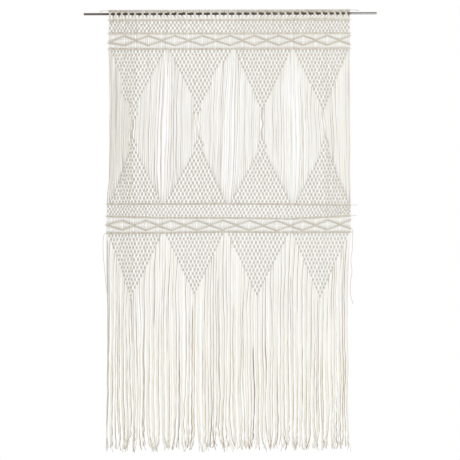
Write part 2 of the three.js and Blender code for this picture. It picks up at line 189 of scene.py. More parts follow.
@dataclass
class StrandMesh:
    """Strands that are joined into one mesh of round tubes with closed ends."""

    sides: int
    strands: list[Strand]
    tiny: float = 1e-9  # a length or turn that counts as none
    widest: float = 1.35  # the most that a ring is widened across a bend
    sharpest: float = 0.5  # least squared cosine of half a bend that counts
    steep: float = 0.9  # how much along y a cord starts before its first ring is set out from x

    def build(self, name: str) -> bpy.types.Object:
        """Makes the joined mesh.

        Args:
            name: The piece's name.

        Returns:
            The new object, at the origin, with the UV map "cord" (u round the cord, v along it in
            metres) and the point attribute "tone".
        """
        rings, radii, tones, counts = self._padded()
        corners, along = self._sweep(rings, radii)
        valid = np.arange(rings.shape[1])[None, :] < counts[:, None]
        return self._mesh(name, corners, along, tones[valid], valid)

    def _padded(self) -> tuple[np.ndarray, np.ndarray, np.ndarray, np.ndarray]:
        """Stacks all strands in one array, the short ones filled up with their last point.

        Returns:
            The points, strands by points by 3, the radii and tones there, and each strand's own
            number of points.
        """
        counts = np.array([len(s.points) for s in self.strands])
        longest = counts.max()
        points = np.empty((len(counts), longest, 3))
        radii = np.ones((len(counts), longest))
        tones = np.ones((len(counts), longest))
        for row, strand in enumerate(self.strands):
            count = counts[row]
            points[row, :count] = strand.points
            points[row, count:] = strand.points[-1]
            radii[row, :count] = strand.radius
            tones[row, :count] = strand.tone
        return points, radii, tones, counts

    def _sweep(self, points: np.ndarray, radii: np.ndarray) -> tuple[np.ndarray, np.ndarray]:
        """Turns centrelines into rings of corners.

        Args:
            points: Centrelines, strands by points by 3.
            radii: The radius at each point.

        Returns:
            The ring corners, strands by points by sides by 3, and the length along at each point.
        """
        step = np.diff(points, axis=1)
        length = np.linalg.norm(step, axis=2)
        way = step / np.maximum(length, self.tiny)[..., None]
        for j in range(1, way.shape[1]):
            still = length[:, j] < self.tiny
            way[still, j] = way[still, j - 1]
        before = np.concatenate([way[:, :1], way], axis=1)
        after = np.concatenate([way, way[:, -1:]], axis=1)
        tangent = before + after
        tangent /= np.maximum(np.linalg.norm(tangent, axis=2), self.tiny)[..., None]
        bend = after - before
        bent = np.linalg.norm(bend, axis=2)
        bend /= np.maximum(bent, self.tiny)[..., None]
        # Across a bend the ring is widened, so that the cord keeps its thickness there.
        flattened = np.sqrt(np.maximum(1 - (bent / 2) ** 2, self.sharpest))
        widen = np.minimum(1 / flattened, self.widest) - 1

        side = np.empty_like(points)
        start = np.where(np.abs(tangent[:, 0, 1:2]) > self.steep, [[1.0, 0, 0]], [[0, 1.0, 0]])
        side[:, 0] = self._across(start, tangent[:, 0])
        for j in range(1, points.shape[1]):
            side[:, j] = self._across(side[:, j - 1], tangent[:, j])
        other = np.cross(tangent, side)
        turn = 2 * np.pi * np.arange(self.sides) / self.sides
        offset = np.cos(turn)[:, None] * side[:, :, None] + np.sin(turn)[:, None] * other[:, :, None]
        leaning = (offset * bend[:, :, None]).sum(axis=3, keepdims=True)
        offset = offset + widen[:, :, None, None] * leaning * bend[:, :, None]
        corners = points[:, :, None] + radii[:, :, None, None] * offset
        along = np.concatenate([np.zeros((len(points), 1)), np.cumsum(length, axis=1)], axis=1)
        return corners, along

    def _across(self, vector: np.ndarray, tangent: np.ndarray) -> np.ndarray:
        """Gives the unit part of each vector that is square to its tangent."""
        flat = vector - (vector * tangent).sum(axis=1, keepdims=True) * tangent
        return flat / np.maximum(np.linalg.norm(flat, axis=1, keepdims=True), self.tiny)

    def _mesh(
        self,
        name: str,
        corners: np.ndarray,
        along: np.ndarray,
        tones: np.ndarray,
        valid: np.ndarray,
    ) -> bpy.types.Object:
        """Joins the rings into faces and fills the piece's UV map and tone.

        Args:
            name: The piece's name.
            corners: The ring corners, strands by points by sides by 3.
            along: The length along the cord at each point.
            tones: The tone at each point that counts, in one row.
            valid: Which points count. The rest only fill up the short strands.

        Returns:
            The new object.
        """
        sides = self.sides
        counts = valid.sum(axis=1)
        first = np.full(valid.shape, -1)
        first[valid] = np.arange(valid.sum()) * sides
        joined = valid[:, 1:]
        upper, lower = first[:, :-1][joined], first[:, 1:][joined]
        turn = np.arange(sides)
        beside = (turn + 1) % sides
        edges = ((upper, turn), (lower, turn), (lower, beside), (upper, beside))
        walls = np.stack([ring[:, None] + corner for ring, corner in edges], axis=2).reshape(-1, 4)
        rows = np.arange(len(counts))
        heads = first[rows, 0][:, None] + turn
        feet = first[rows, counts - 1][:, None] + turn[::-1]
        loops = np.concatenate([walls.ravel(), heads.ravel(), feet.ravel()])
        caps = 4 * len(walls) + sides * np.arange(2 * len(counts))
        starts = np.concatenate([4 * np.arange(len(walls)), caps])

        mesh = bpy.data.meshes.new(name)
        mesh.vertices.add(int(valid.sum()) * sides)
        mesh.vertices.foreach_set("co", corners[valid].astype(np.float32).ravel())
        mesh.loops.add(len(loops))
        mesh.loops.foreach_set("vertex_index", loops.astype(np.int32))
        mesh.polygons.add(len(starts))
        mesh.polygons.foreach_set("loop_start", starts.astype(np.int32))
        mesh.polygons.foreach_set("use_smooth", np.ones(len(starts), bool))

        above, below = along[:, :-1][joined], along[:, 1:][joined]
        round_it = np.stack([turn, turn, turn + 1, turn + 1], axis=1) / sides
        wall_uv = np.empty((len(above), sides, 4, 2))
        wall_uv[..., 0] = round_it
        wall_uv[..., 1] = np.stack([above, below, below, above], axis=1)[:, None]
        cap_uv = np.zeros((2 * len(counts), sides, 2))
        cap_uv[..., 0] = turn / sides
        cap_uv[len(counts) :, :, 1] = along[rows, counts - 1][:, None]
        uv = np.concatenate([wall_uv.ravel(), cap_uv.ravel()])
        mesh.uv_layers.new(name="cord").data.foreach_set("uv", uv.astype(np.float32))
        tone = mesh.attributes.new("tone", "FLOAT", "POINT")
        tone.data.foreach_set("value", np.repeat(tones, sides).astype(np.float32))
        mesh.update(calc_edges=True)
        piece = bpy.data.objects.new(name, mesh)
        bpy.context.scene.collection.objects.link(piece)
        return piece


def smoothed(points: np.ndarray, steps: int) -> np.ndarray:
    """Runs a smooth curve through a few points.

    Args:
        points: The points that the curve passes, n by 3.
        steps: How many steps the curve takes between two of them.

    Returns:
        The curve's points.
    """
    before = 2 * points[:1] - points[1:2]
    after = 2 * points[-1:] - points[-2:-1]
    p = np.concatenate([before, points, after])
    t = (np.arange(steps) / steps)[:, None]
    stretches = []
    for i in range(1, len(p) - 2):
        a, b, c, d = p[i - 1 : i + 3]
        curve = 2 * b + (c - a) * t + (2 * a - 5 * b + 4 * c - d) * t**2
        stretches.append((curve + (3 * b - a - 3 * c + d) * t**3) / 2)
    return np.concatenate([*stretches, points[-1:]])


# ---- knots ----


@dataclass(frozen=True)
class Run:
    """A stretch of one strand: its points, and the painted shade at each, from 0 to 1, deepest where it
    is closed in.
    """

    points: np.ndarray
    closed: np.ndarray | float = 0.0

    def moved(self, x: float, y: float, z: float) -> "Run":
        """Gives the same run in another place."""
        return Run(self.points + np.array([x, y, z]), self.closed)


def tied_run(points: np.ndarray, inside: float, edge: float) -> Run:
    """Gives a run through a knot.

    Args:
        points: Its points.
        inside: Its painted shade within the knot.
        edge: Its painted shade where it goes in and out.

    Returns:
        The run.
    """
    closed = np.full(len(points), inside)
    closed[0] = closed[-1] = edge
    return Run(points, closed)


PAINTED_SHADE_LOSS = 0.255  # painted shade: share of its paleness that a strand loses deep in a knot


def spun(runs: list[Run], tone: float, radius: float = CORD / 2) -> Strand:
    """Joins runs into one strand.

    Args:
        runs: The strand's runs, from its top down.
        tone: How pale its cotton is drawn.
        radius: The cord's radius.

    Returns:
        The strand, darker with painted shade where it is closed in.
    """
    points = np.concatenate([run.points for run in runs])
    closed = np.concatenate([np.broadcast_to(run.closed, len(run.points)) for run in runs])
    return Strand(points, radius, tone * (1 - PAINTED_SHADE_LOSS * closed))


@dataclass(frozen=True)
class SquareKnot:
    """A square knot: two workers tied in two crossings round two fillers."""

    front: tuple[tuple[float, float, float], ...] = (
        (-0.0045, 0.0, 0.006),
        (-0.0026, -0.0029, 0.0027),
        (0.0026, -0.0030, 0.0018),
        (0.0049, -0.0004, 0.0002),
        (0.0026, -0.0030, -0.0014),
        (-0.0026, -0.0029, -0.0025),
        (-0.0045, 0.0, -0.006),
    )
    back: tuple[tuple[float, float, float], ...] = (
        (0.0045, 0.0, 0.006),
        (0.0047, -0.0034, 0.0020),
        (0.0024, 0.0029, 0.0011),
        (-0.0024, 0.0029, 0.0009),
        (-0.0050, -0.0014, 0.0),
        (-0.0024, 0.0029, -0.0013),
        (0.0024, 0.0029, -0.0017),
        (0.0047, -0.0031, -0.0025),
        (0.0045, 0.0, -0.006),
    )
    filler: float = 0.0015  # from the knot's middle to each of the two
    half: float = 0.006  # half the knot's height
    edge: float = 0.45  # painted shade on a strand where it goes into the knot
    size: tuple[float, float, float] = (1.12, 1.0, 1.30)  # how much larger the knots are tied

    def run(self, place: int, lean: float) -> Run:
        """Gives the run of one strand about the knot's middle.

        Args:
            place: The strand's place in the knot, from 0 at the left to 3 at the right.
            lean: How far the knot leans, in radians.

        Returns:
            The run.
        """
        if place == 0:
            points = np.array(self.front)
        elif place == GROUP - 1:
            points = np.array(self.back)
        else:
            x = self.filler if place == 2 else -self.filler
            points = np.array([(x, 0.0, self.half), (x, 0.0, self.half / 2), (x, 0.0, -self.half)])
        return tied_run(leaned(points * np.array(self.size), lean), 1.0, self.edge)


@dataclass(frozen=True)
class DoubleHitch:
    """A strand wound twice round a holding cord."""

    path: tuple[tuple[float, float, float], ...] = (
        (-0.0006, -0.0002, 0.0050),
        (-0.0013, -0.0029, 0.0014),
        (-0.0012, -0.0024, -0.0019),
        (-0.0006, 0.0010, -0.0030),
        (0.0001, 0.0030, 0.0002),
        (0.0008, 0.0006, 0.0031),
        (0.0013, -0.0028, 0.0014),
        (0.0012, -0.0025, -0.0018),
        (0.0002, -0.0002, -0.0050),
    )
    radius: float = 0.0015
    tall: float = 1.30  # how much higher the two turns stand than they would on a thin cord
    closed: float = 1.03  # painted shade on the strand, on the scale of a square knot
    edge: float = 0.9  # the same where it goes in and out

    def at(self, x: float, y: float, z: float, slope: float = 0.0) -> Run:
        """Gives the strand's points.

        Args:
            x: Where the strand hangs.
            y: How far behind the curtain's middle the holding cord lies.
            z: Height of the holding cord's middle there.
            slope: How steeply the holding cord rises to the right.

        Returns:
            The run from above the holding cord to below it.
        """
        points = np.array(self.path)
        points[1:-1, 2] *= self.tall
        points[1:-1] = leaned(points[1:-1], math.atan(slope))
        return tied_run(points, self.closed, self.edge).moved(x, y, z)


@dataclass(frozen=True)
class LarksHead:
    """A cord folded over the mounting cords, its bight drawn across in front of its own two strands."""

    half_run: tuple[tuple[float, float, float], ...] = (
        (-0.0024, -0.0010, 0.0105),
        (-0.0016, -0.0026, 0.0134),
        (-0.0017, -0.0029, 0.0196),
        (-0.0022, 0.0, 0.0220),
        (-0.0029, 0.0028, 0.0190),
        (-0.0031, 0.0022, 0.0146),
        (-0.0029, -0.0026, 0.0126),
        (-0.0015, -0.0052, 0.0132),
    )
    radius: float = 0.0014

    def at(self, x: float) -> np.ndarray:
        """Gives the folded cord's points.

        Args:
            x: Middle of the fold.

        Returns:
            The points from its left strand round the fold to its right one.
        """
        left = np.array(self.half_run)
        right = left[::-1] * np.array([-1, 1, 1])
        return np.concatenate([left, right]) + np.array([x, 0, 0])


SQUARE_KNOT = SquareKnot()
DOUBLE_HITCH = DoubleHitch()
ZIGZAG_HITCH = DoubleHitch(radius=0.0014, tall=1.08)  # drawn tighter than a ridge's
LARKS_HEAD = LarksHead()


# ---- the strands' own cotton ----


@dataclass(frozen=True)
class Yarn:
    """How pale each of the curtain's strands is, the same all the way down, with painted shade at the
    left edge.
    """

    seed: int = 11
    spread: float = 0.022
    dark_share: float = 0.03
    dark: tuple[float, float] = (0.86, 0.93)
    palest: float = 1.05
    left_edge_shade: float = 0.975  # painted shade: the curtain is drawn a little darker at its left edge
    darkening: int = 45  # strands from the edge over which that painted shade fades

    def tones(self) -> np.ndarray:
        """Gives each strand its tone.

        Returns:
            The tones, in the order of the strands.
        """
        rng = np.random.default_rng(self.seed)
        tones = np.minimum(1 + rng.normal(0, self.spread, STRANDS), self.palest)
        darker = rng.random(STRANDS) < self.dark_share
        tones[darker] = rng.uniform(*self.dark, darker.sum())
        return tones * np.interp(np.arange(STRANDS), (0, self.darkening), (self.left_edge_shade, 1.0))


TONES = Yarn().tones()


# ---- materials ----


class Value:
    """A number in a node tree. Python's operators on it add Math nodes."""

    def __init__(self, nodes: "Nodes", socket: bpy.types.NodeSocket) -> None:
        """Wraps a node's output."""
        self.nodes = nodes
        self.socket = socket

    def _math(self, operation: str, *inputs: "Value | float") -> "Value":
        """Adds one Math node.

        Args:
            operation: What it does.
            inputs: What it does it to.

        Returns:
            Its result.
        """
        values = dict(enumerate(inputs))
        made = self.nodes.add("ShaderNodeMath", {"operation": operation}, values)
        return Value(self.nodes, made.outputs[0])

    def __add__(self, other: "Value | float") -> "Value":
        """Adds."""
        return self._math("ADD", self, other)

    def __radd__(self, other: float) -> "Value":
        """Adds to a plain number."""
        return self._math("ADD", other, self)

    def __sub__(self, other: "Value | float") -> "Value":
        """Subtracts."""
        return self._math("SUBTRACT", self, other)

    def __rsub__(self, other: float) -> "Value":
        """Subtracts from a plain number."""
        return self._math("SUBTRACT", other, self)

    def __mul__(self, other: "Value | float") -> "Value":
        """Multiplies."""
        return self._math("MULTIPLY", self, other)

    def __rmul__(self, other: float) -> "Value":
        """Multiplies a plain number."""
        return self._math("MULTIPLY", other, self)

    def __truediv__(self, other: "Value | float") -> "Value":
        """Divides."""
        return self._math("DIVIDE", self, other)

    def __pow__(self, other: float) -> "Value":
        """Raises to a power."""
        return self._math("POWER", self, other)

    def __abs__(self) -> "Value":
        """Drops the sign."""
        return self._math("ABSOLUTE", self)

    def sine(self) -> "Value":
        """Gives the sine."""
        return self._math("SINE", self)

    def root(self) -> "Value":
        """Gives the square root."""
        return self._math("SQRT", self)

    def at_most(self, other: "Value | float") -> "Value":
        """Gives the smaller of the two."""
        return self._math("MINIMUM", self, other)

    def at_least(self, other: "Value | float") -> "Value":
        """Gives the larger of the two."""
        return self._math("MAXIMUM", self, other)

    def held(self, most: float) -> "Value":
        """Gives the number kept between 0 and the most."""
        return self.at_least(0.0).at_most(most)

    def ramp(self, low: float, high: float) -> "Value":
        """Gives a smooth rise from 0 to 1.

        Args:
            low: The number up to which it stays 0.
            high: The number from which it stays 1.

        Returns:
            The rise.
        """
        settings = {"interpolation_type": "SMOOTHSTEP"}
        made = self.nodes.add("ShaderNodeMapRange", settings, {0: self, 1: low, 2: high})
        return Value(self.nodes, made.outputs[0])


class Nodes:
    """The nodes of one material or world."""

    def __init__(self, tree: bpy.types.NodeTree) -> None:
        """Takes an empty tree, or one whose nodes it removes."""
        self.tree = tree
        self.tree.nodes.clear()

    def add(
        self,
        kind: str,
        settings: dict[str, object] | None = None,
        inputs: dict[int | str, object] | None = None,
    ) -> bpy.types.Node:
        """Adds one node.

        Args:
            kind: The node's type.
            settings: What is set on the node itself, before its sockets.
            inputs: The values or links of its sockets, by name or number.

        Returns:
            The node.
        """
        node = self.tree.nodes.new(kind)
        for name, value in (settings or {}).items():
            setattr(node, name, value)
        for name, value in (inputs or {}).items():
            socket = node.inputs[name]
            if isinstance(value, Value):
                self.tree.links.new(value.socket, socket)
            elif isinstance(value, bpy.types.NodeSocket):
                self.tree.links.new(value, socket)
            else:
                socket.default_value = value
        return node

    def numbers(self, vector: bpy.types.NodeSocket) -> list[Value]:
        """Gives a vector's three numbers."""
        made = self.add("ShaderNodeSeparateXYZ", None, {0: vector})
        return [Value(self, output) for output in made.outputs]

    def bump(self, relief: Value, strength: float, depth: float) -> bpy.types.NodeSocket:
        """Raises a relief on the surface.

        Args:
            relief: Its height, from 0 to about 1.
            strength: How strongly it shows.
            depth: Its full depth.

        Returns:
            The socket that gives the normal.
        """
        inputs = {"Height": relief, "Strength": strength, "Distance": depth}
        return self.add("ShaderNodeBump", None, inputs).outputs[0]

    def principled(self, inputs: dict[str, object]) -> bpy.types.NodeSocket:
        """Adds a Principled shader with the given values or links of its sockets."""
        return self.add("ShaderNodeBsdfPrincipled", None, inputs).outputs[0]

    def end(self, shader: bpy.types.NodeSocket, kind: str = "ShaderNodeOutputMaterial") -> None:
        """Joins a shader to the output."""
        self.add(kind, None, {"Surface": shader})

    def mix(self, share: Value | float, first: object, second: object, blend: str = "MIX") -> object:
        """Mixes two colours.

        Args:
            share: How much of the second shows.
            first: A colour, or a socket that gives one.
            second: The same.
            blend: How they mix.

        Returns:
            The mixed colour's socket.
        """
        settings = {"data_type": "RGBA", "blend_type": blend}
        colours = [(*c, 1.0) if isinstance(c, tuple) else c for c in (first, second)]
        node = self.add("ShaderNodeMix", settings, {0: share, 6: colours[0], 7: colours[1]})
        return node.outputs[2]

    def place(self) -> bpy.types.NodeSocket:
        """Gives the place on the piece, in metres."""
        return self.add("ShaderNodeTexCoord").outputs["Object"]

    def noise(self, scale: float, detail: float = 2.0, stretch: tuple | None = None) -> Value:
        """Gives noise from 0 to 1.

        Args:
            scale: Bumps per metre.
            detail: How much finer noise lies on it.
            stretch: Scales along the three axes, where the noise is drawn out.

        Returns:
            The noise.
        """
        place = self.place()
        if stretch is not None:
            place = self.add("ShaderNodeMapping", None, {"Vector": place, "Scale": stretch}).outputs[0]
        inputs = {"Vector": place, "Scale": scale, "Detail": detail}
        return Value(self, self.add("ShaderNodeTexNoise", None, inputs).outputs["Fac"])


def blank_material(name: str) -> tuple[bpy.types.Material, Nodes]:
    """Makes a material with no nodes.

    Args:
        name: Its name.

    Returns:
        The material, and its tree to be filled.
    """
    made = bpy.data.materials.new(name)
    made.use_nodes = True
    return made, Nodes(made.node_tree)


@dataclass(frozen=True)
class Cotton:
    """Natural cotton cord of three twisted plies."""

    name: str = "twisted_cotton"
    crown: tuple[float, float, float] = (0.94, 0.935, 0.875)
    # painted shade: the colour drawn in the grooves between the plies
    groove_shade: tuple[float, float, float] = (0.85, 0.825, 0.75)
    # the colour of warm patches in the cotton, and the warm tint of its painted shade
    warm_patches_and_shade: tuple[float, float, float] = (0.955, 0.89, 0.768)
    warm_gain: float = 3.5  # how quickly a strand turns warm as its tone drops, mostly for painted shade
    yellow: tuple[float, float, float] = (1.0, 0.99, 0.94)  # what the fringe's lower half keeps of it
    yellowing: tuple[float, float] = (1.60, 1.95)  # from where it yellows, below the rod
    brown: tuple[float, float, float] = (0.93, 0.72, 0.53)  # where a strand is in deep shade
    brown_tone: float = 0.76  # the tone below which it turns brown
    brown_gain: float = 5.0
    brown_most: float = 0.9
    brown_above: float = 0.35  # share of the brown that shows above the yellowed part
    plies: int = 3
    lay: float = 0.011  # length over which a ply goes once round
    groove_depth: float = 0.0004
    relief: float = 0.7
    fibres: float = 2600  # per metre
    fibre_stretch: tuple[float, float, float] = (1, 1, 0.35)
    fibre_dark: float = 0.94  # what the darkest fibres keep of the tone
    fibre_gain: float = 0.12  # how much more the palest keep
    fibre_relief: float = 0.25
    patches: float = 9  # per metre
    patch_edge: tuple[float, float] = (0.42, 0.72)
    patch_strength: float = 0.25
    roughness: float = 0.9
    detail: float = 3.0  # of the noise behind fibres and patches

    def material(self) -> bpy.types.Material:
        """Gives the material that all the cotton pieces share.

        Returns:
            The material, made on the first call.
        """
        made = bpy.data.materials.get(self.name)
        if made is not None:
            return made
        made, nodes = blank_material(self.name)
        around, along, _ = nodes.numbers(nodes.add("ShaderNodeUVMap", {"uv_map": "cord"}).outputs[0])
        turns = self.plies * (around + along / self.lay)
        ply = abs((turns * math.pi).sine()).root()
        fibres = nodes.noise(self.fibres, self.detail, self.fibre_stretch)
        patches = nodes.noise(self.patches, self.detail)
        # the tone carries each strand's own paleness times the painted shade of knots, hitches, clump
        # edges and streaks, and the painted light of some pieces
        attribute = nodes.add("ShaderNodeAttribute", {"attribute_name": "tone"})
        tone = Value(nodes, attribute.outputs["Fac"])
        _, _, height = nodes.numbers(nodes.place())

        # painted shade in the grooves between the plies
        colour = nodes.mix(ply, self.groove_shade, self.crown)
        colour = nodes.mix(patches.ramp(*self.patch_edge) * self.patch_strength, colour, self.warm_patches_and_shade)
        # painted shade: the cotton turns warm where its tone is lowered
        colour = nodes.mix(((1 - tone) * self.warm_gain).held(1.0), colour, self.warm_patches_and_shade)
        low = (height * -1.0).ramp(*self.yellowing)
        deep = ((self.brown_tone - tone) * self.brown_gain).held(self.brown_most)
        browned = deep * (self.brown_above + (1 - self.brown_above) * low)
        colour = nodes.mix(browned, colour, self.brown)
        colour = nodes.mix(low, colour, nodes.mix(1.0, colour, self.yellow, "MULTIPLY"))
        shade = tone * (self.fibre_dark + self.fibre_gain * fibres)
        grey = nodes.add("ShaderNodeCombineColor", None, {0: shade, 1: shade, 2: shade}).outputs[0]
        surface = {
            "Base Color": nodes.mix(1.0, colour, grey, "MULTIPLY"),
            "Roughness": self.roughness,
            "Normal": nodes.bump(ply + self.fibre_relief * fibres, self.relief, self.groove_depth),
            "Specular IOR Level": 0.0,
        }
        nodes.end(nodes.principled(surface))
        return made


COTTON = Cotton()


@dataclass(frozen=True)
class BrushedSteel:
    """The rod's dark steel tube, brushed along its length, with painted light on its bare ends and a
    painted reflection under its right end.
    """

    name: str = "rod_steel"
    dark: tuple[float, float, float] = (0.085, 0.062, 0.05)
    # worn patches, and the painted light on the bare ends
    worn_and_lit: tuple[float, float, float] = (0.20, 0.185, 0.17)
    # painted reflection: the colour of the right end's paler underside
    pale: tuple[float, float, float] = (0.54, 0.54, 0.53)
    metal: float = 0.85
    polish: float = 0.32  # least roughness
    brushing: float = 900  # lines per metre round the rod
    brushing_stretch: tuple[float, float, float] = (0.015, 1, 1)
    brushing_roughness: float = 0.16
    brushing_relief: float = 0.2
    brushing_depth: float = 0.0001
    wear: float = 14  # patches per metre
    wear_detail: float = 4.0
    wear_stretch: tuple[float, float, float] = (0.4, 1, 1)
    wear_edge: tuple[float, float] = (0.45, 0.75)
    wear_strength: float = 0.5
    wear_roughness: float = 0.1
    lit_ends: tuple[float, float] = (0.655, 0.70)  # painted light: from where both bare ends are drawn paler
    lit_ends_strength: float = 0.6
    lit: tuple[float, float] = (0.64, 0.66)  # painted reflection: from where the right end is drawn paler below
    lit_below: tuple[float, float] = (-0.0015, 0.0030)  # below the rod's axis
    lit_strength: float = 0.75

    def dress(self, rod: bpy.types.Object) -> None:
        """Gives the rod its finish.

        Args:
            rod: The rod.
        """
        made, nodes = blank_material(self.name)
        along, _, height = nodes.numbers(nodes.place())
        brushing = nodes.noise(self.brushing, stretch=self.brushing_stretch)
        wear = nodes.noise(self.wear, self.wear_detail, self.wear_stretch)
        colour = nodes.mix(wear.ramp(*self.wear_edge) * self.wear_strength, self.dark, self.worn_and_lit)
        # painted light: the bare ends are drawn paler than the rod between the strands, which lies in
        # their shade
        lit_ends = abs(along).ramp(*self.lit_ends)
        colour = nodes.mix(lit_ends * self.lit_ends_strength, colour, self.worn_and_lit)
        # painted reflection of the pale floor under the right end
        under = (height * -1.0).ramp(*self.lit_below)
        lit = along.ramp(*self.lit) * under * self.lit_strength
        surface = {
            "Base Color": nodes.mix(lit, colour, self.pale),
            "Metallic": self.metal,
            "Roughness": self.polish + self.brushing_roughness * brushing + self.wear_roughness * wear,
            "Normal": nodes.bump(brushing, self.brushing_relief, self.brushing_depth),
        }
        nodes.end(nodes.principled(surface))
        rod.data.materials.clear()
        rod.data.materials.append(made)


# ---- the sub-assemblies ----


def make_piece(name: str, sides: int, strands: list[Strand], replaced: str) -> bpy.types.Object:
    """Makes a cotton piece, gives it its finish and its body, and hides the frame's node that it stands
    for.

    Args:
        name: The piece's name.
        sides: The number of sides that its cords have.
        strands: The strands it is made of.
        replaced: The frame's node that it stands for.

    Returns:
        The piece.
    """
    piece = StrandMesh(sides, strands).build(name)
    piece.data.materials.append(COTTON.material())
    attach(piece, "root")
    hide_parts(replaced)
    LOG.info("%s: %d faces", piece.name, len(piece.data.polygons))
    return piece


@dataclass
class Tail:
    """A loose end of a holding cord, hanging from the curtain's edge."""

    name: str
    route: tuple[tuple[float, float, float], ...]
    tone: float = 0.72
    sides: int = 10
    steps: int = 6

    def build(self) -> None:
        """Makes the cord."""
        path = smoothed(np.array(self.route), self.steps)
        strands = [Strand(path, tone=self.tone)]
        piece = make_piece(self.name + "_cord", self.sides, strands, self.name)


@dataclass
class Heading:
    """The curtain's top: cords folded over the mounting cords, and the groups that thread the rod."""

    mounting_heights: tuple[float, float] = (0.0161, 0.0191)
    loose_end: float = 0.048  # how far the lower mounting cord runs past the curtain
    loose_drop: float = 0.0025
    loose_rise: float = 0.0025  # halfway along it
    loose_back: float = 0.001
    loose_tone: float = 0.52
    mounting_tone: float = 0.93
    trimmed_end: float = 0.007
    bunched: float = 0.0027  # from strand to strand of a group where it passes the rod
    clear: float = 0.0006  # between a strand and the rod
    # How far the groups have slid along the rod, at a few strands.
    slid: tuple[tuple[float, float], ...] = (
        (0, 0.0),
        (22, -0.005),
        (30, 0.0),
        (60, -0.003),
        (70, -0.010),
        (82, -0.016),
        (94, -0.010),
        (110, -0.006),
        (126, 0.0),
        (142, 0.001),
        (166, 0.012),
        (190, 0.010),
        (238, 0.022),
        (258, 0.012),
        (272, 0.0),
    )
    stray: float = 0.00091  # how far a group is off its place
    mounting_points: int = 9
    fold_slips: tuple[float, float] = (-0.0007, 0.00042)  # how much higher a fold sits than the rest
    fold_tones: tuple[float, float] = (0.66, 0.86)
    fold_half: float = 0.0024  # from a fold's middle to where either of its strands leaves it
    fold_foot: tuple[float, float] = (-0.0010, 0.0105)  # the y and z of that place
    stepped: float = 0.0004  # how much further out one strand of a group lies than another
    # A strand's way down: its height, then its shares of the fold's x, the group's and the ridge's, and
    # of the way out round the rod.
    way_down: tuple[tuple[float, float, float, float, float], ...] = (
        (0.0072, 0.30, 0.70, 0.0, 0.80),
        (0.0020, 0.0, 1.0, 0.0, 1.0),
        (-0.0036, 0.0, 1.0, 0.0, 1.0),
        (-0.0095, 0.0, 1.0, 0.0, 0.78),
        (-0.0190, 0.0, 0.62, 0.38, 0.40),
    )
    painted_shade_points: tuple[int, ...] = (0, 3, 8, 12)
    closed: tuple[float, ...] = (0.9, 1.0, 0.62, 0.30)  # painted shade at these of its points, deepest where it goes round the rod
    flat_height: float = 0.048
    mounting_seed: int = 17
    group_seed: int = 19
    sides: int = 5
    steps: int = 2  # from point to point of a strand's way

    def build(self, ridge: "Ridge") -> None:
        """Makes the mounting knots and the strands down to the first ridge.

        Args:
            ridge: The first ridge.
        """
        self._mounting()
        self._groups(ridge)

    def _mounting(self) -> None:
        """Makes the two mounting cords and the cords folded over them."""
        rng = np.random.default_rng(self.mounting_seed)
        cords: list[Strand] = []
        left, right = float(strand_x(0, 0)), float(strand_x(STRANDS, 0))
        lower, upper = self.mounting_heights
        inner = [(x, 0.0, lower) for x in np.linspace(left, right, self.mounting_points)]
        drop, rise = lower - self.loose_drop, lower + self.loose_rise
        out, back = self.loose_end, self.loose_back
        left_end = [(left - out, back, drop), (left - out / 2, 0.0, rise)]
        right_end = [(right + out / 2, 0.0, rise), (right + out, back, drop)]
        loose = [self.loose_tone] * len(left_end)
        tone = np.array([*loose, *([self.mounting_tone] * len(inner)), *loose])
        cords.append(Strand(np.array([*left_end, *inner, *right_end]), tone=tone))
        places = (left - self.trimmed_end, 0.0, right + self.trimmed_end)
        cords.append(Strand(np.array([(x, 0.0, upper) for x in places])))
        for strand in range(0, STRANDS, 2):
            fold = LARKS_HEAD.at(float(strand_x(strand + 1, 0)))
            fold[:, 2] += rng.uniform(*self.fold_slips)
            tone = TONES[strand] * rng.uniform(*self.fold_tones)
            cords.append(Strand(fold, LARKS_HEAD.radius, tone))
        make_piece("mounting_knots", self.sides, cords, "mounting_cord")

    def _groups(self, ridge: "Ridge") -> None:
        """Makes the groups of four strands that pass in front of the rod and behind it by turns.

        Args:
            ridge: The first ridge.
        """
        cords: list[Strand] = []
        past = ROD_RADIUS + self.clear + CORD / 2
        rng = np.random.default_rng(self.group_seed)
        strays = rng.uniform(-self.stray, self.stray, STRANDS // GROUP)
        for strand in range(STRANDS):
            group, place = divmod(strand, GROUP)
            facing = -1 if group % 2 == 0 else 1
            at = (group + 0.5) * GROUP
            middle = float(strand_x(at, 0) + np.interp(at, *zip(*self.slid)) + strays[group])
            half = self.fold_half if strand % 2 else -self.fold_half
            fold = float(strand_x(strand // 2 * 2 + 1, 0)) + half
            bunch = middle + (place - (GROUP - 1) / 2) * self.bunched
            foot = ridge.above(strand)
            out = facing * (past + self.stepped * (strand % 3))
            route = [(fold, *self.fold_foot)]
            for z, of_fold, of_bunch, of_foot, of_out in self.way_down:
                route.append((of_fold * fold + of_bunch * bunch + of_foot * foot[0], of_out * out, z))
            route.append(foot)
            path = smoothed(np.array(route), self.steps)
            closed = np.interp(np.arange(len(path)), self.painted_shade_points, self.closed)
            cords.append(spun([Run(path, closed)], TONES[strand]))
        piece = make_piece("heading_strands", self.sides, cords, "heading")


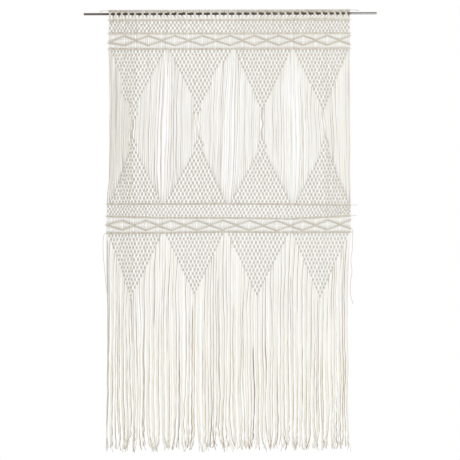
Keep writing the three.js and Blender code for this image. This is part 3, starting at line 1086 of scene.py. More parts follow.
@dataclass
class Ridge:
    """A holding cord right across the curtain, with each strand hitched to it twice."""

    line: RidgeLine
    sides: int = 5
    steps: int = 34  # stretches of the holding cord
    shades: tuple[float, float] = (0.91, 1.15)  # how much single hitches differ
    seed: int = 31

    def drawn(self) -> str:
        """Gives the name of the ridge's own piece."""
        return self.line.name + "_hitches"

    def hitch(self, strand: int) -> Run:
        """Gives the run of a strand round the holding cord."""
        z = float(ridge_z(self.line, middle_of(strand)))
        return DOUBLE_HITCH.at(float(strand_x(middle_of(strand), z)), 0.0, z)

    def above(self, strand: int) -> np.ndarray:
        """Gives the point where a strand comes down into the ridge."""
        return self.hitch(strand).points[0]

    def below(self, strand: int) -> np.ndarray:
        """Gives the point where a strand leaves the ridge."""
        return self.hitch(strand).points[-1]

    def build(self) -> None:
        """Makes the holding cord and its hitches."""
        cords: list[Strand] = []
        columns = np.linspace(0, STRANDS, self.steps + 1)
        z = ridge_z(self.line, columns)
        core = np.stack([strand_x(columns, z), np.zeros_like(z), z], axis=1)
        core[0, 0] -= self.line.left_end
        core[-1, 0] += self.line.right_end
        cords.append(Strand(core, tone=HOLDING_TONE))
        shades = np.random.default_rng(self.seed).uniform(*self.shades, STRANDS)
        for strand in range(STRANDS):
            tone = TONES[strand] * float(shades[strand])
            cords.append(spun([self.hitch(strand)], tone, DOUBLE_HITCH.radius))
        make_piece(self.drawn(), self.sides, cords, self.line.name)


@dataclass
class KnotRow:
    """One row of square knots, side by side."""

    first: int  # leftmost strand of the row's leftmost knot
    x: np.ndarray
    z: np.ndarray
    lean: np.ndarray

    def run(self, strand: int) -> Run | None:
        """Gives the run of a strand through its knot.

        Args:
            strand: The strand.

        Returns:
            The run, or None if the strand passes the row by.
        """
        index, place = divmod(strand - self.first, GROUP)
        if not 0 <= index < len(self.x):
            return None
        return SQUARE_KNOT.run(place, float(self.lean[index])).moved(self.x[index], 0.0, self.z[index])


@dataclass(frozen=True)
class KnotSlips:
    """How unevenly the knots are tied."""

    seed: int = 5
    across: float = 0.0009
    down: float = 0.0010
    lean: float = 0.14  # radians
    most: float = 2.0  # the largest slip, on the scale of the usual one

    def row(self, first: int, strands: np.ndarray, z: np.ndarray, number: int) -> KnotRow:
        """Makes a row of knots that are a little out of line.

        Args:
            first: Leftmost strand of the row.
            strands: The knots' middles on the strand scale.
            z: The knots' heights.
            number: A number of the row's own, which fixes its slips.

        Returns:
            The row.
        """
        rng = np.random.default_rng([self.seed, number])
        slip = np.clip(rng.normal(0, 1, (3, len(strands))), -self.most, self.most)
        x = strand_x(strands, z) + self.across * slip[0]
        return KnotRow(first, x, z + self.down * slip[1], self.lean * slip[2])


SLIPS = KnotSlips()


def room_between(above: Ridge, below: Ridge) -> float:
    """Gives the height of what hangs between two ridges, to a millimetre."""
    return round(float(np.mean(above.line.z) - np.mean(below.line.z)) - 2 * RIDGE_HALF, 3)


@dataclass
class NetBand:
    """A band of alternating square knots between two ridges."""

    name: str
    above: Ridge
    below: Ridge
    rows: int = 4
    margin: float = 0.0125  # from a ridge's middle to the nearest row's
    radius: float = 0.00128  # of the cord, which is drawn tight here
    pale: float = 1.0  # painted light: how much paler its cotton is drawn than the curtain's
    seed: int = 465  # the rows' slips are numbered from here
    sides: int = 4

    def build(self) -> None:
        rows = [self._row(number) for number in range(self.rows)]
        cords: list[Strand] = []
        for strand in range(STRANDS):
            route = [Run(self.above.below(strand)[None], DOUBLE_HITCH.edge)]
            for row in rows:
                run = row.run(strand)
                if run is None:
                    z = float(row.z[0] if strand < GROUP else row.z[-1])
                    run = Run(np.array([[float(strand_x(middle_of(strand), z)), 0.0, z]]))
                route.append(run)
            route.append(Run(self.below.above(strand)[None], DOUBLE_HITCH.edge))
            cords.append(spun(route, TONES[strand] * self.pale, self.radius))
        piece = make_piece(self.name + "_knots", self.sides, cords, self.name)
        flat = (WIDTH, room_between(self.above, self.below))
        self.above.drawn()

    def _row(self, number: int) -> KnotRow:
        """Makes one of the band's rows, every other one shifted by half a knot.

        Args:
            number: The row's number, from 0 at the top.

        Returns:
            The row.
        """
        shifted = number % 2
        first = 2 * shifted
        strands = np.arange(first + 2, STRANDS - first, GROUP, dtype=float)
        top = ridge_z(self.above.line, strands) - self.margin
        foot = ridge_z(self.below.line, strands) + self.margin
        z = top + (foot - top) * number / (self.rows - 1)
        return SLIPS.row(first, strands, z, self.seed + number)


@dataclass(frozen=True)
class RowPlan:
    """A triangle's rows of knots, from its widest one."""

    regular: int = 16  # rows that each have a knot less than the one before
    tail: tuple[tuple[int, int], ...] = ()  # further rows: leftmost strand in the unit, knots
    short: tuple[int, ...] = ()  # rows that lack their rightmost knot

    def rows(self) -> list[tuple[int, int]]:
        """Gives each row's leftmost strand in the unit and its number of knots."""
        rows = [(2 + 2 * number, UNIT // GROUP - 1 - number) for number in range(self.regular)]
        return [(left, knots - (n in self.short)) for n, (left, knots) in enumerate([*rows, *self.tail])]


@dataclass
class Triangle:
    """A triangle of alternating square knots, tied from a ridge to a narrow tip."""

    name: str
    unit: int
    ridge: Ridge
    tied: Way
    neck: float  # height at which the last full rows end
    tip: float
    plan: RowPlan
    radius: float  # of the cord, which is drawn tight here
    pale: float  # painted light: how much paler its cotton is drawn than the curtain's
    sides: int = 4
    margin: float = 0.0130  # from the ridge's middle to the widest row's
    past_neck: float = 0.008  # from the neck to the last row
    knot: float = 0.0090  # from the middle of the last knot to the tip
    chain_step: float = 0.0170  # from knot to knot in the chain below the last row
    chain_room: float = 0.7  # share of such a step that is enough for one more knot
    unit_seeds: int = 100  # the rows' slips are numbered from here in each further unit
    chain_seed: int = 900  # and the chain's from here
    filled: float = 0.53  # its share of a rectangle as wide and as tall
    made: list[KnotRow] = field(default_factory=list)

    def __post_init__(self) -> None:
        """Places all the triangle's knots, and orders their rows from the top down."""
        way = self.tied.value
        last = self.neck + way * self.past_neck
        spare = abs(self.tip - last) - self.knot
        links = int(spare / self.chain_step + 1 - self.chain_room)
        if links <= 0:
            last = self.tip - way * self.knot
        rows = self.plan.rows()
        for number, (inward, knots) in enumerate(rows):
            first = self.unit * UNIT + inward
            strands = first + 2.0 + GROUP * np.arange(knots)
            base = ridge_z(self.ridge.line, strands) + way * self.margin
            z = base + (last - base) * number / (len(rows) - 1)
            self.made.append(SLIPS.row(first, strands, z, self.unit_seeds * self.unit + number))
        middle = self.unit * UNIT + UNIT / 2
        for link in range(links):
            z = last + (self.tip - way * self.knot - last) * (link + 1) / links
            seed = self.chain_seed + link
            self.made.append(SLIPS.row(int(middle) - 2, np.array([middle]), np.array([z]), seed))
        if self.tied is Way.UP:
            self.made.reverse()

    def runs(self, strand: int) -> list[Run]:
        """Gives a strand's runs through its knots, from the top down."""
        return [run for row in self.made if (run := row.run(strand)) is not None]

    def at_ridge(self, strand: int) -> np.ndarray:
        """Gives the point where a strand leaves the ridge for the triangle."""
        return self.ridge.below(strand) if self.tied is Way.DOWN else self.ridge.above(strand)

    def free_end(self, strand: int) -> np.ndarray:
        """Gives the point where a strand leaves the triangle to hang free.

        Args:
            strand: The strand.

        Returns:
            The point at its last knot, or at the ridge where no knot holds it.
        """
        runs = self.runs(strand)
        if not runs:
            return self.at_ridge(strand)
        return runs[-1].points[-1] if self.tied is Way.DOWN else runs[0].points[0]

    def build(self) -> None:
        cords: list[Strand] = []
        left = self.unit * UNIT
        for strand in range(left + 2, left + UNIT - 2):
            start = [Run(self.at_ridge(strand)[None], DOUBLE_HITCH.edge)]
            runs = self.runs(strand)
            route = start + runs if self.tied is Way.DOWN else runs + start
            cords.append(spun(route, TONES[strand] * self.pale, self.radius))
        piece = make_piece(self.name + "_knots", self.sides, cords, self.name)
        base = float(np.mean(self.ridge.line.z))
        width = float(strand_x(left + UNIT - 2, base) - strand_x(left + 2, base))
        tall = abs(self.tip - base) - RIDGE_HALF
        area = round(self.filled * width * tall, 4)
        rests = [self.ridge.drawn()] if self.tied is Way.DOWN else []


@dataclass
class ZigzagPanel:
    """The open strands between two ridges, crossed by two holding cords that cross and part."""

    name: str
    above: Ridge
    below: Ridge
    raised: float = 0.0  # how far the lines' middle is above the ridges'
    dip: float = 0.0  # how far it sinks towards the left edge
    first_crossing: float = 34.0
    period: float = 28.1
    closed_end: float = 1.3  # strand at which the two lines meet at the left
    rise: float = 0.0265  # from the middle to a line where the two are furthest apart
    closest: float = 0.0031  # the same where they cross
    y: float = -0.0010  # the lines lie a little in front of the strands
    end: float = 0.008  # how far the holding cords' trimmed ends stand out
    paired: float = 0.0011  # how far two neighbouring strands draw together
    fanned: float = 0.0032  # how far the strands part where a free stretch is longest
    fan_reach: float = 6.0  # strands
    over: float = 0.0008  # how far the upper line comes forward where the two meet, and the other back
    shortest: float = 0.0005  # a free stretch that still shows
    closed: tuple[float, ...] = (0.7, 0.12, 0.7)  # painted shade on a free stretch, from end to end, deepest by the hitches
    filled: float = 0.8  # the open strands' share of the panel
    pale: float = 1.0  # painted light: how much paler its cotton is drawn than the curtain's
    sides: int = 5

    def aside(self, strand: int, inside: bool) -> float:
        """Gives how far a strand is drawn aside halfway down one of its free stretches.

        Args:
            strand: The strand.
            inside: Whether the stretch is between the two lines, or above or below both.

        Returns:
            The way to the right.
        """
        crossings = (middle_of(strand) - self.first_crossing) / self.period
        widest = math.floor(crossings) + 0.5 if inside else round(crossings)
        away = (crossings - widest) * self.period
        fan = math.copysign(max(0.0, 1 - abs(away) / self.fan_reach), away) * self.fanned
        return fan + (self.paired if strand % 2 == 0 else -self.paired)

    def middle(self, strand: np.ndarray | float) -> np.ndarray:
        """Gives the height that both lines cross and part about.

        Args:
            strand: Places on the strand scale.

        Returns:
            The height at each.
        """
        ridges = ridge_z(self.above.line, strand) + ridge_z(self.below.line, strand)
        widest = self.first_crossing - self.period / 2
        return ridges / 2 + self.raised - self.dip * np.maximum(0, 1 - np.asarray(strand) / widest)

    def spread(self, strand: np.ndarray | float) -> np.ndarray:
        """Gives how far each holding cord is from that height.

        Args:
            strand: Places on the strand scale.

        Returns:
            The way up or down at each.
        """
        strand = np.asarray(strand, float)
        # The leftmost diamond is a little wider than the rest, and closes at the curtain's edge.
        widest = self.first_crossing - self.period / 2
        stretch = self.period / 2 / (widest - self.closed_end)
        near_edge = widest + (np.maximum(strand, self.closed_end) - widest) * stretch
        phase = (np.where(strand < widest, near_edge, strand) - self.first_crossing) / self.period
        return self.rise * (1 - 2 * np.abs(phase - np.floor(phase) - 0.5))

    def line(self, strand: float, way: Way) -> tuple[float, float, float, float]:
        """Gives where a strand meets the upper or lower line.

        Args:
            strand: The strand's place on the strand scale.
            way: Up for the upper line, down for the lower one.

        Returns:
            x, y, z and the line's slope there.
        """
        near = np.array([strand - 0.5, strand, strand + 0.5])
        apart = np.hypot(self.spread(near), self.closest)
        z = self.middle(near) + way.value * apart
        x = strand_x(near, z)
        slope = float((z[2] - z[0]) / (x[2] - x[0]))
        y = self.y - way.value * self.over * self.closest / float(apart[1])
        return float(x[1]), y, float(z[1]), slope

    def build(self) -> None:
        """Makes the open strands and the hitched lines."""
        web: list[Strand] = []
        lines: list[Strand] = []
        for strand in range(STRANDS):
            tone = TONES[strand] * self.pale
            hitches = [ZIGZAG_HITCH.at(*self.line(middle_of(strand), way)) for way in Way]
            stops = [hitch.points[end] for hitch in hitches for end in (0, -1)]
            stops = [self.above.below(strand), *stops, self.below.above(strand)]
            for part, (top, foot) in enumerate((stops[0:2], stops[2:4], stops[4:6])):
                if top[2] - foot[2] > self.shortest:
                    drawn = (top + foot) / 2 + np.array([self.aside(strand, part == 1), 0, 0])
                    web.append(spun([Run(np.array([top, drawn, foot]), np.array(self.closed))], tone))
            for hitch in hitches:
                lines.append(spun([hitch], tone, ZIGZAG_HITCH.radius))
        for way in Way:
            lines.append(Strand(self._holding_cord(way), tone=HOLDING_TONE))
        strands = make_piece(self.name + "_web_strands", self.sides, web, self.name + "_web")
        flat = (WIDTH, room_between(self.above, self.below))
        area = round(self.filled * flat[0] * flat[1], 4)
        self.above.drawn()
        make_piece(self.name + "_zigzag_hitches", self.sides, lines, self.name + "_zigzag")

    def _holding_cord(self, way: Way) -> np.ndarray:
        """Gives the route of one of the two holding cords, which change places at each crossing.

        Args:
            way: The line that it lies in after the first crossing.

        Returns:
            The cord's points.
        """
        points = []
        for strand in range(STRANDS + 1):
            crossed = math.floor((strand - self.first_crossing) / self.period)
            side = way if crossed % 2 == 0 else Way(-way.value)
            points.append(self.line(float(strand), side)[:3])
        first, last = np.array(points[0]), np.array(points[-1])
        out = np.array([self.end, 0, 0])
        return np.array([first - out, *points, last + out])


@dataclass(frozen=True)
class Parting:
    """A place where the strands have drawn apart."""

    strand: float  # its place on the strand scale
    top: float  # height of its upper end
    foot: float  # height of its lower end
    half: float  # half its width
    reach: float = 9.0  # strands to either side that make room for it
    taper: float = 0.5  # how its two ends narrow: the higher, the slimmer they are

    def push(self, strand: float, z: np.ndarray) -> np.ndarray:
        """Gives how far a strand is pushed aside.

        Args:
            strand: The strand's place on the strand scale.
            z: The heights.

        Returns:
            The way to the right at each height.
        """
        away = strand - self.strand
        near = max(0.0, 1 - abs(away) / self.reach)
        share = np.clip((z - self.foot) / (self.top - self.foot), 0, 1)
        swell = np.sin(np.pi * share) ** self.taper
        return math.copysign(self.half * near, away) * swell


@dataclass(frozen=True)
class Streak:
    """A stretch where a strand or two are turned away from the light or hang behind their neighbours."""

    strand: int
    top: float  # height of its upper end
    foot: float  # height of its lower end
    tone: float = 0.70  # what it leaves of the strand's paleness
    wide: int = 1  # strands
    fade: float = 0.04  # length over which it fades in and out

    def factor(self, strand: int, z: np.ndarray) -> np.ndarray | float:
        """Gives how much of a strand's tone the streak leaves.

        Args:
            strand: The strand.
            z: The heights.

        Returns:
            The tone's factor at each height.
        """
        if not 0 <= strand - self.strand < self.wide:
            return 1.0
        inside = np.minimum(self.top - z, z - self.foot) / self.fade
        return 1 - (1 - self.tone) * np.clip(inside, 0, 1)


@dataclass
class Sway:
    """How open strands wander, clump and part as they hang."""

    seed: int
    clumping: float = 0.45  # how far strands draw to the middle of their clump
    clump_sizes: tuple[int, ...] = (1, 2, 2, 3, 3, 4, 5)
    off_centre: float = 0.25  # strands by which a clump's middle strays
    stations: int = 5  # heights at which strands are grouped anew
    steady: float = 0.6  # how far the strands keep to the same clumps all the way down
    drift: float = 0.0022  # slow wandering of neighbours together
    drift_span: tuple[float, float] = (26, 56)  # strands in one of its waves
    drift_waves: tuple[float, float] = (0.6, 1.6)  # number of them from top to foot
    wander: float = 0.0008  # each strand's own
    wander_waves: tuple[float, float] = (1, 3)
    finer: float = 0.5  # share of finer waves on those
    finer_waves: tuple[float, float] = (3, 6)
    depth: float = 0.0020
    depth_shares: tuple[float, float] = (0.6, 0.4)  # of its station's depth and of its own waves
    shade: float = 0.16  # paleness that a strand loses where it hangs behind its neighbours
    shade_from: float = 0.7  # depth at which that begins
    edge_share: float = 0.5  # share of the clumps whose last strand hangs back
    edge_shade: float = 0.10  # paleness that such a strand loses
    edge_range: tuple[float, float] = (0.1, 1.4)
    darkest: float = 0.5
    ripple: float = 0.0  # height of the short waves that a clump's strands make together
    ripple_sizes: tuple[float, float] = (0.3, 1.7)
    ripple_lengths: tuple[float, float] = (0.065, 0.150)
    ripple_parts: tuple[float, float] = (0.7, 0.5)  # the clump's and the strand's own

    def __post_init__(self) -> None:
        """Draws the clumps and waves."""
        rng = np.random.default_rng(self.seed)
        pulls = [self._clumps(rng) for _ in range(self.stations + 1)]
        self._pulls = self.steady * pulls[0] + (1 - self.steady) * np.array(pulls[1:])
        last = np.append(np.diff(pulls[0]) > 0, False)
        self.clump_of = np.concatenate([[0], np.cumsum(last[:-1])])
        back = last & (rng.random(STRANDS) < self.edge_share)
        self._edges = back * rng.uniform(*self.edge_range, (self.stations, STRANDS))
        self._depths = rng.normal(0, 1, (self.stations, STRANDS))
        self._waves = rng.uniform(0, 1, (STRANDS, 4))
        self._slow = rng.uniform(0, 1, (3, 3))
        self._ripples = rng.uniform(0, 1, (2 * STRANDS, 3))

    def _clumps(self, rng: np.random.Generator) -> np.ndarray:
        """Groups the strands at one height.

        Args:
            rng: What the clumps are drawn from.

        Returns:
            Each strand's way to the middle of its clump, in strands.
        """
        pull = np.zeros(STRANDS)
        first = 0
        while first < STRANDS:
            size = min(int(rng.choice(self.clump_sizes)), STRANDS - first)
            middle = first + (size - 1) / 2 + rng.normal(0, self.off_centre)
            pull[first : first + size] = middle - np.arange(first, first + size)
            first += size
        return pull

    def rippled(self, strand: int, z: np.ndarray) -> np.ndarray:
        """Gives a strand's short waves, mostly its clump's and partly its own.

        Args:
            strand: The strand.
            z: The heights.

        Returns:
            The way to the right at each height.
        """
        aside = np.zeros_like(z)
        for row, part in zip((int(self.clump_of[strand]), STRANDS + strand), self.ripple_parts):
            phase, length, size = self._ripples[row]
            waves = wave(phase + z / between(self.ripple_lengths, length))
            aside += part * between(self.ripple_sizes, size) * waves
        return self.ripple * aside

    def offset(
        self, strand: int, share: np.ndarray, loose: np.ndarray | float
    ) -> tuple[np.ndarray, np.ndarray, np.ndarray]:
        """Gives how far a strand wanders, and how shaded it is.

        Args:
            strand: The strand.
            share: How far down the stretch each point is, from 0 to 1.
            loose: How much more than usual the strand draws to its clump.

        Returns:
            The ways to the right and to the back at each point, and the tone's factor there.
        """
        at = np.clip(share, 0, 1) * (self.stations - 1)
        low = np.minimum(at.astype(int), self.stations - 2)
        t = at - low
        ease = t * t * (3 - 2 * t)
        drawn = (self._pulls, self._depths, self._edges)
        pull, deep, edge = (a[low, strand] * (1 - ease) + a[low + 1, strand] * ease for a in drawn)
        across = self.clumping * loose * PITCH * pull
        for number, (phase, span, waves) in enumerate(self._slow, start=1):
            turns = phase + strand / between(self.drift_span, span)
            turns = turns + share * between(self.drift_waves, waves) * number
            across = across + self.drift / number * wave(turns)
        phase, waves, finer_phase, finer_waves = self._waves[strand]
        own = wave(phase + share * between(self.wander_waves, waves))
        own = own + self.finer * wave(finer_phase + share * between(self.finer_waves, finer_waves))
        tone = 1 - self.shade * np.maximum(deep - self.shade_from, 0) - self.edge_shade * edge
        back = self.depth * (self.depth_shares[0] * deep + self.depth_shares[1] * own)
        return across + self.wander * own, back, np.maximum(tone, self.darkest)


EASING = 1.5  # how slowly a strand comes free of its knot at first


@dataclass
class HangingStrands:
    """Strands that hang free."""

    sway: Sway
    partings: tuple[Parting, ...]
    streaks: tuple[Streak, ...]
    held: float  # length over which a strand eases out of its last knot

    def hang(
        self, strand: int, z: np.ndarray, share: np.ndarray, loose: np.ndarray | float
    ) -> tuple[np.ndarray, np.ndarray, np.ndarray]:
        """Gives how far a strand hangs off its line, and how shaded it is.

        Args:
            strand: The strand.
            z: The heights.
            share: How far down the stretch each of them is, from 0 to 1.
            loose: How much more than usual the strand draws to its clump.

        Returns:
            The ways to the right and to the back at each height, and the tone's factor there.
        """
        across, back, tone = self.sway.offset(strand, share, loose)
        for parting in self.partings:
            across = across + parting.push(middle_of(strand), z)
        for streak in self.streaks:
            tone = tone * streak.factor(strand, z)
        return across, back, tone

    def freed(self, away: np.ndarray) -> np.ndarray:
        """Gives how free a strand hangs, from 0 to 1, at a way from the knot that holds it."""
        return 1 - np.exp(-(np.maximum(away / self.held, 0) ** EASING))


@dataclass
class OpenStrings(HangingStrands):
    """The free strands between the upper and middle triangles, from one tip to the next."""

    name: str
    first: int  # strand
    last: int  # the strand after its last one
    sides: int = 5
    points: int = 16  # along a strand
    # How much a strand draws to its clump, by its way in strands from the line between two units.
    loose_away: tuple[float, float] = (8.4, 22.4)
    loose: tuple[float, float] = (2.8, 0.5)
    # The strands between two tips hang in two bunches. The tuples have a value for each unit.
    bunched: float = 0.80  # how far they draw together
    bunch_depth: float = 0.0012  # how far they lie to the front and back by turns
    bunch_tones: tuple[float, ...] = (0.84, 0.90, 0.76, 0.84)
    bunch_waves: tuple[float, ...] = (0.0006, 0.0005, 0.0075, 0.0015)
    bunch_turns: float = 1.5  # waves from top to foot
    bunch_swell: tuple[float, float] = (0.3, 1.3)  # factor of their height at the top and foot
    parted: tuple[float, ...] = (0.0, 2.0, 0.0, 1.5)  # how far the bunches are from the unit's axis
    # painted shade: the strings are drawn a little greyer towards the curtain's left.
    grey_strands: tuple[float, ...] = (0, 68, 110, 170)
    grey: tuple[float, ...] = (0.925, 0.925, 0.985, 1.005)

    def build(self, tops: dict[int, np.ndarray], feet: dict[int, np.ndarray]) -> None:
        """Args:
            tops: Where each strand leaves the upper triangle or ridge.
            feet: Where each strand enters the middle triangle or ridge.
        """
        strands = range(self.first, self.last)
        cords = [self._strand(strand, tops[strand], feet[strand]) for strand in strands]
        piece = make_piece(self.name + "_strands", self.sides, cords, self.name)
        heights = [float(tops[s][2] - feet[s][2]) for s in strands]

    def _strand(self, strand: int, top: np.ndarray, foot: np.ndarray) -> Strand:
        """Hangs one strand between its two ends.

        Args:
            strand: The strand.
            top: Where it leaves the upper triangle or ridge.
            foot: Where it enters the middle triangle or ridge.

        Returns:
            The strand.
        """
        z = np.linspace(top[2], foot[2], self.points)
        share = (UPPER_RIDGE_Z - z) / (UPPER_RIDGE_Z - MIDDLE_RIDGE_Z)
        line = UNIT * min(max(round(middle_of(strand) / UNIT), 1), UNITS - 1)
        loose = float(np.interp(abs(middle_of(strand) - line), self.loose_away, self.loose))
        across, back, tone = self.hang(strand, z, share, loose)
        unit, place = divmod(strand, UNIT)
        from_axis = middle_of(place) - UNIT / 2
        from_bunch = from_axis - math.copysign(self.parted[unit], from_axis)
        if abs(from_bunch) < GROUP / 2:
            fallen = (top[2] - z) / (top[2] - foot[2])
            swell = self.bunch_waves[unit] * between(self.bunch_swell, fallen)
            across = -self.bunched * from_bunch * PITCH - swell * wave(self.bunch_turns * fallen)
            back = np.full(len(z), self.bunch_depth if place % 2 else -self.bunch_depth)
            tone = np.full(len(z), self.bunch_tones[unit])
        free = self.freed(np.minimum(top[2] - z, z - foot[2]))
        held_x = np.where(top[2] - z < z - foot[2], top[0], foot[0])
        x = (strand_x(middle_of(strand), z) + across) * free + held_x * (1 - free)
        route = np.stack([x, back * free, z], axis=1)
        route[0], route[-1] = top, foot
        grey = float(np.interp(strand, self.grey_strands, self.grey))
        return Strand(route, tone=TONES[strand] * tone * grey)


@dataclass
class Fringe(HangingStrands):
    """The long loose strands below the lower triangles."""

    end: float = -2.352
    uneven: float = 0.012
    most_uneven: float = 0.020
    sides: int = 5
    step: float = 0.022
    swayed: tuple[float, float] = (0.7, 1.2)  # factor of the sway at the fringe's top and foot
    rippled: tuple[float, float] = (0.3, 1.3)  # the same for its short waves
    hang_forward: float = 0.008  # soft waves of the whole fringe to the front and back
    hang_wave: float = 0.430  # length of one of them
    hang_still: float = 0.35  # share of the fringe's height above them
    wavy: float = 0.190  # length at the strands' ends that is wavy
    wave_step: float = 0.0125
    gather: float = 1.6  # how much nearer the end than its start that wavy length is wavy
    curl: float = 0.016
    curl_limit: float = 1.8  # the most that a strand curls, on the scale of the usual one
    curl_back: float = 0.2  # share of its curl to the front or back
    hooked: float = 2.6  # how much nearer its end than its waves begin a strand curls aside
    waviness: float = 0.0040
    wave_length: float = 0.062
    together: float = 0.6  # how far the strands of a clump curl alike
    spread: float = 0.4  # how much more the clumps draw together at their ends
    radius: float = 0.00165  # of a cord's loose, fuller end
    frayed: float = 0.04  # how much thicker a strand is at its end
    darkening: float = 0.14  # painted shade: paleness that it loses there, among its dense frayed ends
    lit_paler: float = 1.105  # painted light: how much paler the fringe is drawn than the knots, for its brightly lit strands
    flat: tuple[float, float] = (1.31, 1.17)  # width and height
    seed: int = 29

    def build(self, tops: dict[int, np.ndarray]) -> None:
        """Args:
            tops: Where each strand leaves the lower triangle or ridge.
        """
        rng = np.random.default_rng(self.seed)
        cords: list[Strand] = []
        area = 0.0
        limit = self.curl_limit
        clump_curls = np.clip(rng.normal(0, 1, (STRANDS, 2)), -limit, limit)
        for strand in range(STRANDS):
            slip = np.clip(rng.normal(0, self.uneven), -self.most_uneven, self.most_uneven)
            end = self.end + float(slip)
            own = np.clip(rng.normal(0, 1, 2), -limit, limit)
            curls = between((own, clump_curls[self.sway.clump_of[strand]]), self.together)
            cords.append(self._strand(strand, tops[strand], end, curls))
            area += (tops[strand][2] - end) * PITCH
        piece = make_piece("fringe_strands", self.sides, cords, "fringe")
        area = round(area, 4)

    def _strand(self, strand: int, top: np.ndarray, end: float, curls: np.ndarray) -> Strand:
        """Hangs one strand from its last knot.

        Args:
            strand: The strand.
            top: Where it leaves the lower triangle or ridge.
            end: Height of its end.
            curls: How far it curls aside at its end, and how wavy it is there.

        Returns:
            The strand.
        """
        wavy = end + self.wavy
        count = int(round((top[2] - wavy) / self.step))
        waves = int(self.wavy / self.wave_step) + 1
        straight = np.linspace(top[2], wavy, count, endpoint=False)
        z = np.concatenate([straight, np.linspace(wavy, end, waves)])
        share = (LOWER_RIDGE_Z - z) / (LOWER_RIDGE_Z - self.end)
        near_end = np.clip(1 - (z - end) / self.wavy, 0, 1) ** self.gather
        across, back, tone = self.hang(strand, z, share, 1 + self.spread * near_end)
        across = across + between(self.rippled, share) * self.sway.rippled(strand, z)
        turns = (z - end) / self.wave_length + curls[0]
        across = across + self.curl * curls[0] * near_end**self.hooked
        across = across + near_end * self.waviness * curls[1] * wave(turns)
        free = self.freed(top[2] - z)
        hung = strand_x(middle_of(strand), z) + across * between(self.swayed, share)
        x = hung * free + top[0] * (1 - free)
        lower = np.maximum(0, share - self.hang_still)
        forward = self.hang_forward * lower * wave(x / self.hang_wave)
        y = (back + forward + self.curl_back * self.curl * curls[1] * near_end) * free
        route = np.stack([x, y, z], axis=1)
        route[0] = top
        # painted light on the whole fringe, and painted shade at its ends
        tone = tone * TONES[strand] * self.lit_paler * (1 - self.darkening * near_end)
        return Strand(route, self.radius * (1 + self.frayed * near_end), tone)


# ---- floor, light and camera ----


@dataclass(frozen=True)
class Lamp:
    """A square soft lamp."""

    name: str
    place: tuple[float, float, float]
    aim: tuple[float, float, float]  # what it is turned to
    size: float
    power: float  # watts

    def hang(self) -> None:
        """Adds the lamp to the scene."""
        data = bpy.data.lights.new(self.name, "AREA")
        data.size = self.size
        data.energy = self.power
        lamp = bpy.data.objects.new(self.name, data)
        bpy.context.scene.collection.objects.link(lamp)
        lamp.location = self.place
        way = np.array(self.aim) - np.array(self.place)
        pitch = math.acos(-way[2] / np.linalg.norm(way))
        lamp.rotation_euler = (pitch, 0, math.atan2(way[1], way[0]) - math.pi / 2)


@dataclass
class Studio:
    """A pale floor, a white surround, soft lamps and the camera."""

    floor_z: float = -2.6
    floor_size: float = 8.0
    floor_colour: tuple[float, float, float] = (0.80, 0.80, 0.80)
    floor_roughness: float = 0.9
    fade_reach: tuple[float, float] = (1.5, 0.8)  # where the floor is white, to the side and the front
    fade: tuple[float, float] = (0.45, 1.0)  # share of that reach over which it fades
    lens: float = 85.0  # mm
    sensor: float = 36.0  # mm
    distance: float = 5.88  # from the camera to the curtain
    centre: tuple[float, float] = (-0.0054, -1.171)  # x and z of the camera
    roll: float = 0.197  # degrees
    daylight: float = 0.56  # strength of the world's light on the curtain
    lamps: tuple[Lamp, ...] = (
        Lamp("front_lamp", place=(1.6, -3.9, 0.9), aim=(0, 0, -1.1), size=2.4, power=96),
        Lamp("side_lamp", place=(-3.2, -2.6, -0.4), aim=(0, 0, -1.2), size=2.0, power=14),
        Lamp("back_lamp", place=(-1.4, 4.2, 0.2), aim=(0, 0, -1.1), size=2.4, power=50),
    )

    def camera(self) -> None:
        """Places the camera square in front of the curtain."""
        data = bpy.data.cameras.new("camera")
        data.lens = self.lens
        data.sensor_width = self.sensor
        made = bpy.data.objects.new("camera", data)
        bpy.context.scene.collection.objects.link(made)
        x, z = self.centre
        made.location = (x, -self.distance, z)
        made.rotation_euler = (math.pi / 2, math.radians(self.roll), 0)
        bpy.context.scene.camera = made

    def surround(self) -> None:
        """Makes the world, which is white where it is seen and an even daylight on the curtain."""
        world = bpy.data.worlds.new("surround")
        bpy.context.scene.world = world
        world.use_nodes = True
        nodes = Nodes(world.node_tree)
        seen = self._seen(nodes)
        strength = seen + (1 - seen) * self.daylight
        light = nodes.add("ShaderNodeBackground", None, {"Color": (1, 1, 1, 1), "Strength": strength})
        nodes.end(light.outputs[0], "ShaderNodeOutputWorld")

    def floor(self) -> None:
        """Makes the floor, which fades to white away from the curtain."""
        bpy.ops.object.select_all(action="DESELECT")
        bpy.ops.mesh.primitive_plane_add(size=self.floor_size, location=(0, 0, self.floor_z))
        plane = bpy.context.object
        plane.name = "floor"
        bpy.ops.object.transform_apply(location=True, rotation=True, scale=True)
        made, nodes = blank_material("pale_floor")
        x, y, _ = nodes.numbers(nodes.place())
        away = ((x / self.fade_reach[0]) ** 2.0 + (y / self.fade_reach[1]) ** 2.0).root()
        share = away.ramp(*self.fade) * self._seen(nodes)
        surface = {"Base Color": (*self.floor_colour, 1.0), "Roughness": self.floor_roughness}
        white = nodes.add("ShaderNodeEmission", None, {"Color": (1, 1, 1, 1), "Strength": 1.0})
        shaders = {0: share, 1: nodes.principled(surface), 2: white.outputs[0]}
        nodes.end(nodes.add("ShaderNodeMixShader", None, shaders).outputs[0])
        plane.data.materials.append(made)

    @staticmethod
    def _seen(nodes: Nodes) -> Value:
        """Tells what is seen from what only gives light.

        Args:
            nodes: The tree that asks.

        Returns:
            1 for what the camera sees, straight, in metal or through glass, and otherwise 0.
        """
        path = nodes.add("ShaderNodeLightPath")
        kinds = ("Is Camera Ray", "Is Glossy Ray", "Is Transmission Ray")
        camera, glossy, through = (Value(nodes, path.outputs[kind]) for kind in kinds)
        return camera.at_least(glossy).at_least(through)


